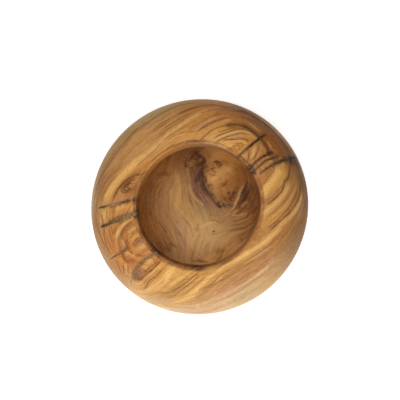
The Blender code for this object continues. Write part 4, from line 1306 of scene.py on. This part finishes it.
# %% Sort the vertices into inside and outside
SKIN = 0.0012    # how far below the shoulder's curve a vertex still counts as outside
FOOT_LEVEL = 0.005    # below this, every vertex is part of the foot
share = np.hypot(places[:, 0], places[:, 1] / (1 - SHRINKAGE)) * MM / BODY_RADIUS
height = places[:, 2] * MM
outward = (normals[:, :2] * places[:, :2]).sum(1) > 1.0
below = (height < FOOT_LEVEL) | outward | (normals[:, 2] < -0.2)
shoulder = height > shoulder_height(np.minimum(share, 1)) - SKIN
outside = shoulder | ((height < GIRTH_HEIGHT) & below)
inside = ~outside
layers = np.where(outside, shoulder_layers(places), inside_layers(places))
print(len(places), "vertices,", int(inside.sum()), "of them inside")


# %% Colour the belly by rule
def smooth_step(low, high, value):
    part = np.clip((value - low) / (high - low), 0, 1)
    return part * part * (3 - 2 * part)


def between(value, steps, hex_colours):
    """Smooth passages between colours that stand at steps of a value."""
    shades = np.array([linear(colour) for colour in hex_colours])
    return np.column_stack([np.interp(value, steps, channel) for channel in shades.T])


def belly_colours(places, layers):
    """Below the girth the figure is drawn by rule: bands of tan and honey along the layers."""
    stretched = np.column_stack([places[:, 0] * 0.06, layers, places[:, 1] * 0.02])
    mix = 0.5 + 0.35 * ripple(stretched, 9.0, 3) + 0.16 * ripple(stretched, 3.2, 4)
    names = ("walnut", "umber", "tan", "honey", "straw")
    return between(np.clip(mix, 0, 1), (0, 0.3, 0.55, 0.8, 1), [WOOD[name] for name in names])


colours = belly_colours(places, layers)
print("mean colour of the belly's wood", colours.mean(0).round(3))

# %% Colour the shoulder and the inside from the drawing
# Each part's colours are scaled in red, green and blue: the inside and the lip a good deal paler, the
# shoulder a little.
SHOULDER_COLOUR_SCALE = np.array([1.06, 1.08, 1.09])
INSIDE_COLOUR_SCALE = np.array([1.33, 1.41, 1.38])
WALL_WARMTH = np.array([0.98, 0.95, 0.86])
WALL_FOOT = (0.38, 0.46)     # shares between which the inside turns up into its wall
# The next value paints a sheen: the outermost edge is made paler, in place of the gloss at grazing angles
# that the wood's low specular leaves out.
RIM_SHEEN = 0.12              # how much paler the outermost edge is
DRAWN_FROM = (30.0, 46.0)    # millimetres up, between which the belly turns into the drawing
upper = smooth_step(*DRAWN_FROM, places[:, 2])[:, None]
top = blend_tints(drawn, SHOULDER_TINTS, shoulder_height)
for stroke in SHOULDER_STROKES:
    paint_stroke(top, drawn, stroke, shoulder_height)
# Painted sheen: the outermost edge of the shoulder is made paler.
sheen_edge = 1 + RIM_SHEEN * smooth_step(0.93, 1.0, share)[:, None]
colours = np.clip(colours + (top * SHOULDER_COLOUR_SCALE * sheen_edge - colours) * upper, 0, 1)
floor = blend_tints(drawn, INSIDE_TINTS, inside_height, 5.0)
for stroke in INSIDE_STROKES:
    paint_stroke(floor, drawn, stroke, inside_height)
floor = floor * (1 - (1 - WALL_WARMTH) * smooth_step(*WALL_FOOT, share)[:, None])
colours[inside] = np.clip(floor[inside] * INSIDE_COLOUR_SCALE, 0, 1)
print("mean colour outside", colours[outside].mean(0).round(3))
print("mean colour inside", colours[inside].mean(0).round(3))

# %% Colour the lip and the stains of the cracks
LIP_COLOUR_SCALE = 1.25
LIP_SHARES = (0.562, 0.560, 0.550)    # beyond the lip, and where its own tints begin and hold
LIP_FOOT = 0.080    # level above which the mouth's edge is lip
HAIR = 0.004        # share by which the mouth's edge may lie further in


def lip_colours(places):
    """Tints of the lip by angle, between its upper and its lower edge."""
    angle = np.degrees(np.arctan2(places[:, 1], places[:, 0])) % 360
    top, low = shoulder_point(LIP_TURN).y / MM, under_shoulder_point(UNDER_LIP_TURN).y / MM
    part = smooth_step(0.15, 0.75, (top - places[:, 2]) / (top - low))[:, None]
    turns = [tint[0] for tint in LIP_TINTS] + [360]
    upper, lower = [between(angle, turns, [tint[column] for tint in LIP_TINTS + LIP_TINTS[:1]])
                    for column in (1, 2)]
    return LIP_COLOUR_SCALE * (upper + (lower - upper) * part)


def edge_stroke(edge, radius, count):
    """A stroke along an edge of the lip, from its two angles, as places in plan."""
    first, last, name, half_width, strength = edge
    reach = 1000 * radius / BODY_RADIUS
    angles = np.radians(np.linspace(first, last, count))
    plan = [(reach * math.cos(a), reach * math.sin(a) * (1 - SHRINKAGE)) for a in angles]
    return (name, half_width, strength, *plan)


past_lip, lip_begins, lip_holds = LIP_SHARES
lip = (share > MOUTH_RADIUS / BODY_RADIUS - HAIR) & (share < past_lip) & (height > LIP_FOOT)
cover = (smooth_step(lip_begins, lip_holds, share) * lip)[:, None]
colours += (lip_colours(places) - colours) * cover
# Along the upper edge of the lip the strokes are partly painted shade of the rounded arris.
top_edge = MOUTH_RADIUS + LIP_FLARE + TOP_ARRIS / 2
for stroke in CRACK_STAINS + [edge_stroke(edge, top_edge, 6) for edge in LIP_EDGE]:
    paint_stroke(colours, drawn, stroke, shoulder_height)
# Painted shade and painted highlights along the lower edge of the lip.
low_edge = under_shoulder_point(UNDER_LIP_TURN)
for edge in LOWER_LIP_EDGE:
    paint_stroke(colours, drawn, edge_stroke(edge, low_edge.x, 24),
                 lambda share: np.full_like(share, low_edge.y))
print("lip coloured on", int(lip.sum()), "vertices")

# %% Mark the burl and lay out the fine lines
burl = np.zeros(len(places))
for along, across, radius in BURL_PATCHES:
    middle = dropped([(along, across)], inside_height)[0]
    gap = np.linalg.norm(drawn - middle, axis=1) / (radius / 1000 * BODY_RADIUS / MM)
    burl = np.maximum(burl, np.exp(-gap ** 3))
burl[outside] = 0

SOFTER = 0.7          # fine lines of the long sides are fainter than those at the ends
LINES_FROM = 40       # millimetres up, above which the outside has fine lines
soft = [(name, half_width, SOFTER * strength, *plan)
        for name, half_width, strength, *plan in UPPER_SIDE + LOWER_SIDE]
shoulder_lines = draw_fine_lines(drawn, normals, soft + RIGHT_END + LEFT_END,
                                 shoulder_height, outside & (places[:, 2] > LINES_FROM))
inside_lines = draw_fine_lines(drawn, normals, INSIDE_STROKES, inside_height, inside)
LINE_SHEETS = max(len(shoulder_lines), len(inside_lines))
print("sheets of fine lines:", LINE_SHEETS)


# %% Keep the drawing in the mesh
def store(mesh, name, values):
    """Keep one number, one colour or one vector for each vertex of a mesh."""
    values = np.asarray(values, np.float32)
    kinds = {1: ("FLOAT", "value"), 3: ("FLOAT_VECTOR", "vector"), 4: ("FLOAT_COLOR", "color")}
    kind, field = kinds[values[0].size]
    mesh.attributes.new(name, kind, "POINT").data.foreach_set(field, values.ravel())


for sheet in range(LINE_SHEETS):
    lines = np.tile(NO_LINE, (len(places), 1))
    if sheet < len(shoulder_lines):
        lines[outside] = shoulder_lines[sheet][outside]
    if sheet < len(inside_lines):
        lines[inside] = inside_lines[sheet][inside]
    store(bowl.data, "lines_" + str(sheet + 1), lines)
store(bowl.data, "tone", np.column_stack([colours, np.ones(len(places))]))
store(bowl.data, "layer", layers)
store(bowl.data, "burl", burl)
store(bowl.data, "streaks", np.where(outside, 1.0, 0.5))
print("kept in the mesh:", sorted(name for name in bowl.data.attributes.keys() if name[0] != "."))

# %% [markdown]
# ## Olive wood, sanded and oiled
# The drawn tints give the broad figure. The wood itself adds what is too fine to draw: soft
# bands and hairlines that run with the growth layers, short fibre flecks along the grain, and
# the small dark buds of the burl. Oil deepens the colour and leaves a low, soft sheen, a
# little duller where the fibres run out. A noise stretched along the grain could do all of
# that on a plank. On a bowl it has to follow the layers, so it reads the stored field.


# %% Helpers for materials
def add_node(tree, kind, inputs=(), **settings):
    """Add a shader node. Inputs go in socket order or by name: a number, a hex colour, a
    link, or a node, which stands for its first output."""
    item = tree.nodes.new("ShaderNode" + kind)
    for name, value in settings.items():
        setattr(item, name, value)
    for name, value in inputs.items() if isinstance(inputs, dict) else enumerate(inputs):
        if isinstance(value, bpy.types.Node):
            value = value.outputs[0]
        if isinstance(value, str):
            value = (*linear(value), 1.0)
        if isinstance(value, bpy.types.NodeSocket):
            tree.links.new(value, item.inputs[name])
        else:
            item.inputs[name].default_value = value
    return item


def new_material(name):
    material = bpy.data.materials.new(name)
    material.use_nodes = True
    material.node_tree.nodes.clear()
    return material


print("helpers ready for", bpy.app.version_string)

# %% What the wood reads
times = {"operation": "MULTIPLY"}
smooth = {"interpolation_type": "SMOOTHSTEP"}
tint = {"data_type": "RGBA", "blend_type": "MIX"}
shade = {"data_type": "RGBA", "blend_type": "MULTIPLY"}
coats = []    # for each coat over the drawing: how it is mixed in, its amount, its colour
wood = new_material("oiled_olive_wood")
tree = wood.node_tree
colour = add_node(tree, "Attribute", attribute_name="tone").outputs["Color"]
layer, burl_here, streaks = [add_node(tree, "Attribute", attribute_name=name).outputs["Fac"]
                             for name in ("layer", "burl", "streaks")]
place = add_node(tree, "TexCoord").outputs["Object"]
millimetres = add_node(tree, "VectorMath", {0: place, "Scale": 1 / MM}, operation="SCALE")
apart = add_node(tree, "SeparateXYZ", (millimetres,))


def grown(layer_scale, along_scale, across_scale):
    """Coordinates that change fast from layer to layer and slowly along the grain."""
    pairs = ((layer, layer_scale), (apart.outputs["X"], along_scale), (apart.outputs["Y"], across_scale))
    parts = [add_node(tree, "Math", pair, **times) for pair in pairs]
    return add_node(tree, "CombineXYZ", parts)


print("the wood reads", len(tree.nodes), "inputs")

# %% Bands and hairlines along the layers
# Bands are about 2.4 mm wide and 80 mm long, hairlines come about every millimetre.
bands = add_node(tree, "TexNoise", {"Vector": grown(0.42, 0.012, 0.016), "Scale": 1,
                                    "Detail": 3, "Roughness": 0.6})
dark_band = add_node(tree, "MapRange", (bands, 0.5, 0.75, 0.0, 0.34), **smooth)
pale_band = add_node(tree, "MapRange", (bands, 0.5, 0.28, 0.0, 0.22), **smooth)
coats += [(shade, dark_band, "#B08058"), (tint, pale_band, "#DDAE72")]

waves = add_node(tree, "TexNoise", {"Vector": grown(0.85, 0.012, 0.018), "Scale": 1,
                                    "Detail": 2, "Roughness": 0.6})
from_line = add_node(tree, "Math", (waves, 0.5), operation="SUBTRACT")
from_line = add_node(tree, "Math", (from_line,), operation="ABSOLUTE")
region = add_node(tree, "TexNoise", {"Vector": millimetres, "Scale": 0.055, "Detail": 1})
hair = add_node(tree, "MapRange", (from_line, 0.05, 0.0, 0.0, 1.0), **smooth)
strength = add_node(tree, "MapRange", (region, 0.4, 0.6, 0.05, 0.3), **smooth)
hair = add_node(tree, "Math", (hair, strength), **times)
hair = add_node(tree, "Math", (hair, streaks), **times)
coats.append((shade, hair, "#B0703C"))
print("bands and hairlines:", len(tree.nodes), "nodes")

# %% Thin streaks and fibres
# Streaks are half a millimetre wide, and stronger inside. Fibres are flecks 5 mm long.
thin = add_node(tree, "TexNoise", {"Vector": grown(1.9, 0.05, 0.08), "Scale": 1,
                                   "Detail": 2, "Roughness": 0.6})
more = add_node(tree, "Math", (streaks, -0.6, 1.6), operation="MULTIPLY_ADD")
thin_dark = add_node(tree, "MapRange", (thin, 0.5, 0.72, 0.0, 0.35), **smooth)
thin_dark = add_node(tree, "Math", (thin_dark, more), **times)
thin_pale = add_node(tree, "MapRange", (thin, 0.48, 0.28, 0.0, 0.2), **smooth)
thin_pale = add_node(tree, "Math", (thin_pale, more), **times)
coats += [(shade, thin_dark, "#B88A60"), (tint, thin_pale, "#E2B478")]

stretched = add_node(tree, "VectorMath", (millimetres, (0.20, 1.6, 1.6)), **times)
fibres = add_node(tree, "TexNoise", {"Vector": stretched, "Scale": 1, "Detail": 2})
fleck = add_node(tree, "MapRange", (fibres, 0.5, 0.72, 0.0, 0.42), **smooth)
fleck = add_node(tree, "Math", (fleck, streaks), **times)
silk = add_node(tree, "MapRange", (fibres, 0.47, 0.26, 0.0, 0.22), **smooth)
coats += [(shade, fleck, "#B98A62"), (tint, silk, "#E0B680")]
print("streaks and fibres:", len(tree.nodes), "nodes")

# %% The fine lines, drawn sharp
# A hand-sized waver bends each line by up to 0.2 mm, and a slow noise lets it fade.
sway = add_node(tree, "TexNoise", {"Vector": millimetres, "Scale": 0.16, "Detail": 1})
sway = add_node(tree, "MapRange", (sway, 0.25, 0.75, -0.18, 0.18), **smooth)
fade = add_node(tree, "TexNoise", {"Vector": millimetres, "Scale": 0.13, "Detail": 2})
fade = add_node(tree, "MapRange", (fade, 0.3, 0.55, 0.55, 1.0), **smooth)
for sheet in range(LINE_SHEETS):
    line = add_node(tree, "Attribute", attribute_name="lines_" + str(sheet + 1)).outputs["Vector"]
    distance, depth, half_width = add_node(tree, "SeparateXYZ", (line,)).outputs
    gap = add_node(tree, "Math", (distance, sway), operation="ADD")
    gap = add_node(tree, "Math", (gap,), operation="ABSOLUTE")
    gap = add_node(tree, "Math", (gap, half_width), operation="DIVIDE")
    mark = add_node(tree, "MapRange", (gap, 1.3, 0.5, 0.0, 1.0), **smooth)
    mark = add_node(tree, "Math", (mark, fade), **times)
    mark = add_node(tree, "Math", (mark, depth), **times)
    dark = add_node(tree, "Math", (mark, 0.0), operation="MAXIMUM")
    pale = add_node(tree, "Math", (mark, -0.65), operation="MULTIPLY", use_clamp=True)
    coats += [(tint, dark, "#6E3C18"), (tint, pale, "#EBC284")]
print("fine lines:", len(tree.nodes), "nodes")

# %% Buds of the burl, all coats of colour, and the oiled surface
# Buds sit about 1.8 mm apart. Oiled wood has a much lower sheen than bare plastic.
buds = add_node(tree, "TexVoronoi", {"Vector": millimetres, "Scale": 0.55, "Randomness": 1})
bud = add_node(tree, "MapRange", (buds, 0.42, 0.16, 0.0, 0.75), **smooth)
bud = add_node(tree, "Math", (bud, burl_here), **times)
coats.append((tint, bud, "#6B4026"))
for kind, amount, coat in coats:
    colour = add_node(tree, "Mix", {0: amount, 6: colour, 7: coat}, **kind).outputs[2]
dull = add_node(tree, "MapRange", (fibres, 0.3, 0.7, 0.44, 0.54), **smooth)
relief = add_node(tree, "Bump", {"Height": fibres, "Strength": 0.04, "Distance": 0.0002})
oiled = add_node(tree, "BsdfPrincipled", {"Base Color": colour, "Roughness": dull,
                                          "Specular IOR Level": 0.035, "Normal": relief})
add_node(tree, "OutputMaterial", {"Surface": oiled})
print("the whole wood:", len(tree.nodes), "nodes")

# %% [markdown]
# ## Dark resin and grit
# The filler is clear-brown resin stirred with ground grit: a brown-grey body with paler
# grains and a few dark voids, sanded with the wood, so it is smooth but not glossy. A plain
# dark plastic would look like tape on the bowl. Clouds 1 mm wide and grains of 0.8 mm break
# it up, a little coarser than real grit, so that they show.

# %% Mix the filler
filler = new_material("dark_resin_and_grit")
tree = filler.node_tree
place = add_node(tree, "TexCoord").outputs["Object"]
paleness = add_node(tree, "Attribute", attribute_name="paleness").outputs["Fac"]
cloud = add_node(tree, "TexNoise", {"Vector": place, "Scale": 900.0, "Detail": 3})
cloud = add_node(tree, "MapRange", (cloud, 0.3, 0.7, -0.22, 0.22))
depth = add_node(tree, "Math", (paleness, cloud), operation="ADD", use_clamp=True)
body = add_node(tree, "ValToRGB", (depth,))
body.color_ramp.elements[0].color = (*linear("#2E2012"), 1.0)
body.color_ramp.elements[1].color = (*linear("#CCA47C"), 1.0)
for position, name in ((0.4, "#6E5338"), (0.75, "#A27C56")):
    body.color_ramp.elements.new(position).color = (*linear(name), 1.0)
grit = add_node(tree, "TexVoronoi", {"Vector": place, "Scale": 1300.0, "Randomness": 1})
grain = add_node(tree, "MapRange", (grit, 0.34, 0.12, 0.0, 0.5))
gritty = add_node(tree, "Mix", {0: grain, 6: body, 7: "#BCA684"}, **tint).outputs[2]
sanded = add_node(tree, "BsdfPrincipled", {"Base Color": gritty, "Roughness": 0.5,
                                           "Specular IOR Level": 0.015})
add_node(tree, "OutputMaterial", {"Surface": sanded})
print("filler:", len(tree.nodes), "nodes")

# %% How pale each filling is
# From its end near the mouth to its outer end: 0 is clear brown resin over a deep crack,
# and 1 is packed grit.
PALENESS = {
    "right_crack_fill_1": (0.32, 0.6, 0.3, 0.1, 0.08, 0.05),
    "right_crack_fill_2": (0.06, 0.36, 0.38, 0.1, 0.1),
    "right_crack_fill_3": (0.14, 0.54, 0.24, 0.15, 0.42),
    "right_crack_fill_4": (0.55, 0.4, 0.38, 0.18, 0.16, 0.05),
    "left_crack_fill_1": (0.34, 0.2, 0.64, 0.74, 0.32, 0.15),
    "left_crack_fill_2": (0.5, 0.53, 0.48, 0.34, 0.15),
    "left_crack_fill_3": (0.45, 0.3, 0.6, 0.38, 0.8),
    "left_crack_fill_4": (0.5, 0.54, 0.5, 0.54, 0.68, 0.9),
}
for name, filling in fillings.items():
    corners = read_vertices(filling.data, "co")
    reach = np.hypot(corners[:, 0], corners[:, 1])
    part = (reach - reach.min()) / (reach.max() - reach.min())
    steps = PALENESS[name]
    store(filling.data, "paleness", np.interp(part, np.linspace(0, 1, len(steps)), steps))
    print(filling.name, "reaches out to", round(reach.max() / MM), "mm")

# %% [markdown]
# ## Placing the pieces
# The bowl and its fillings are one body, for nothing on a yarn bowl moves. Each piece takes
# the place of the plain solid with the same role, and names the finish that it wears. They
# were modelled where they belong, so none of them has to be moved.

# %% Put each piece in the place of its solid
bowl.data.materials.append(wood)
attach(bowl, "root")
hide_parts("bowl")
for name, filling in fillings.items():
    filling.data.materials.append(filler)
    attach(filling, "root")
    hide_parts(name)
print("pieces in place:", 1 + len(fillings))

# %% [markdown]
# ## White paper
# The bowl stands on white paper. The paper and the world look white to the camera, and in
# gloss and glass, but light the bowl no more than a plain studio would: a world that is
# white to all light would wash out the shade inside.

# %% White paper and white backdrop
VIEW_TURN = math.radians(34.5)    # the view is turned, so the grain runs up to the right


def across_view(degrees):
    """A direction along the floor, as an angle in the view: 0 is right and 90 is up."""
    angle = math.radians(degrees) - VIEW_TURN
    return Vector((math.cos(angle), math.sin(angle), 0.0))


def seen_rays(tree):
    """1 for a ray from the camera, a glossy surface or glass, and 0 for light on the bowl."""
    rays = add_node(tree, "LightPath")
    seen = rays.outputs["Is Camera Ray"]
    for kind in ("Is Glossy Ray", "Is Transmission Ray"):
        seen = add_node(tree, "Math", (seen, rays.outputs[kind]), operation="ADD", use_clamp=True)
    return seen


start_clean()
bpy.ops.mesh.primitive_plane_add(size=6.0)
table = bpy.context.object
table.name = "floor"
paper = new_material("white_paper")
tree = paper.node_tree
matt = add_node(tree, "BsdfDiffuse", {"Color": (0.8, 0.8, 0.8, 1.0)})
lift = add_node(tree, "Emission", {"Color": (0.55, 0.55, 0.55, 1.0), "Strength": seen_rays(tree)})
both = add_node(tree, "AddShader", (matt, lift))
add_node(tree, "OutputMaterial", {"Surface": both})
table.data.materials.append(paper)

AMBIENT = 0.15    # strength of the world as light, where 1 is white to the camera
world = bpy.data.worlds.new("studio")
world.use_nodes = True
backdrop = world.node_tree.nodes["Background"]
backdrop.inputs["Color"].default_value = (1.0, 1.0, 1.0, 1.0)
levels = (seen_rays(world.node_tree), 1 - AMBIENT, AMBIENT)
level = add_node(world.node_tree, "Math", levels, operation="MULTIPLY_ADD")
world.node_tree.links.new(level.outputs[0], backdrop.inputs["Strength"])
bpy.context.scene.world = world
print("white paper and backdrop ready")

# %% [markdown]
# ## Lamps
# Three large soft lamps, as small ones would draw hard shadows: one straight above, one low
# on the near side and a weak one on the left. So the shoulder is bright at the bottom, and
# the inside lies in soft shade.


# %% Hang the lamps
def hang_lamp(name, side, elevation, distance, width, watts):
    """A round soft lamp, aimed at the bowl from a side of the view."""
    tilt = math.radians(elevation)
    aim = Vector((0, 0, GIRTH_HEIGHT))
    spot = aim + distance * (math.cos(tilt) * across_view(side) + Vector((0, 0, math.sin(tilt))))
    turn = (spot - aim).to_track_quat("Z", "Y").to_euler()
    bpy.ops.object.light_add(type="AREA", location=spot, rotation=turn)
    lamp = bpy.context.object
    lamp.name = name
    lamp.data.shape = "DISK"
    lamp.data.size = width
    lamp.data.energy = watts
    print(name, "hangs", round(spot.z, 2), "m up")


hang_lamp("overhead_softbox", 0, 90, 1.3, 1.2, 12.5)
hang_lamp("window_side", 270, 20, 1.3, 0.9, 8.5)
hang_lamp("side_fill", 180, 45, 1.3, 0.9, 2.0)

# %% [markdown]
# ## Camera
# The camera looks down into the bowl from more than a metre up, so that mouth and outline
# keep their proportions, and leans a little, as one held by hand would.

# %% Aim the camera
CAMERA_HEIGHT = 1.1
CAMERA_LEAN = math.radians(1.6)    # off straight down
LEAN_SIDE = -53                    # the side of the view that the camera leans to
VIEW_WIDTH = 0.2748                # what the view takes in at the girth
AIM_UP = 4.55 * MM                 # the bowl lies a little low in the view
AIM_RIGHT = 0.22 * MM

back = math.sin(CAMERA_LEAN) * across_view(LEAN_SIDE) + math.cos(CAMERA_LEAN) * Vector((0, 0, 1))
up = across_view(90)
up = (up - back * up.dot(back)).normalized()
right = up.cross(back)
distance = CAMERA_HEIGHT - GIRTH_HEIGHT
aim = Vector((0, 0, GIRTH_HEIGHT)) + AIM_UP * up + AIM_RIGHT * right
bpy.ops.object.camera_add(location=aim + distance * back)
camera = bpy.context.object
camera.rotation_euler = Matrix((right, up, back)).transposed().to_euler()
camera.data.sensor_width = 36
camera.data.lens = camera.data.sensor_width * distance / VIEW_WIDTH
camera.data.clip_start = 0.05
bpy.context.scene.camera = camera
bpy.context.scene.view_settings.view_transform = "Standard"
print("camera", round(camera.location.z, 2), "m up, lens", round(camera.data.lens), "mm")
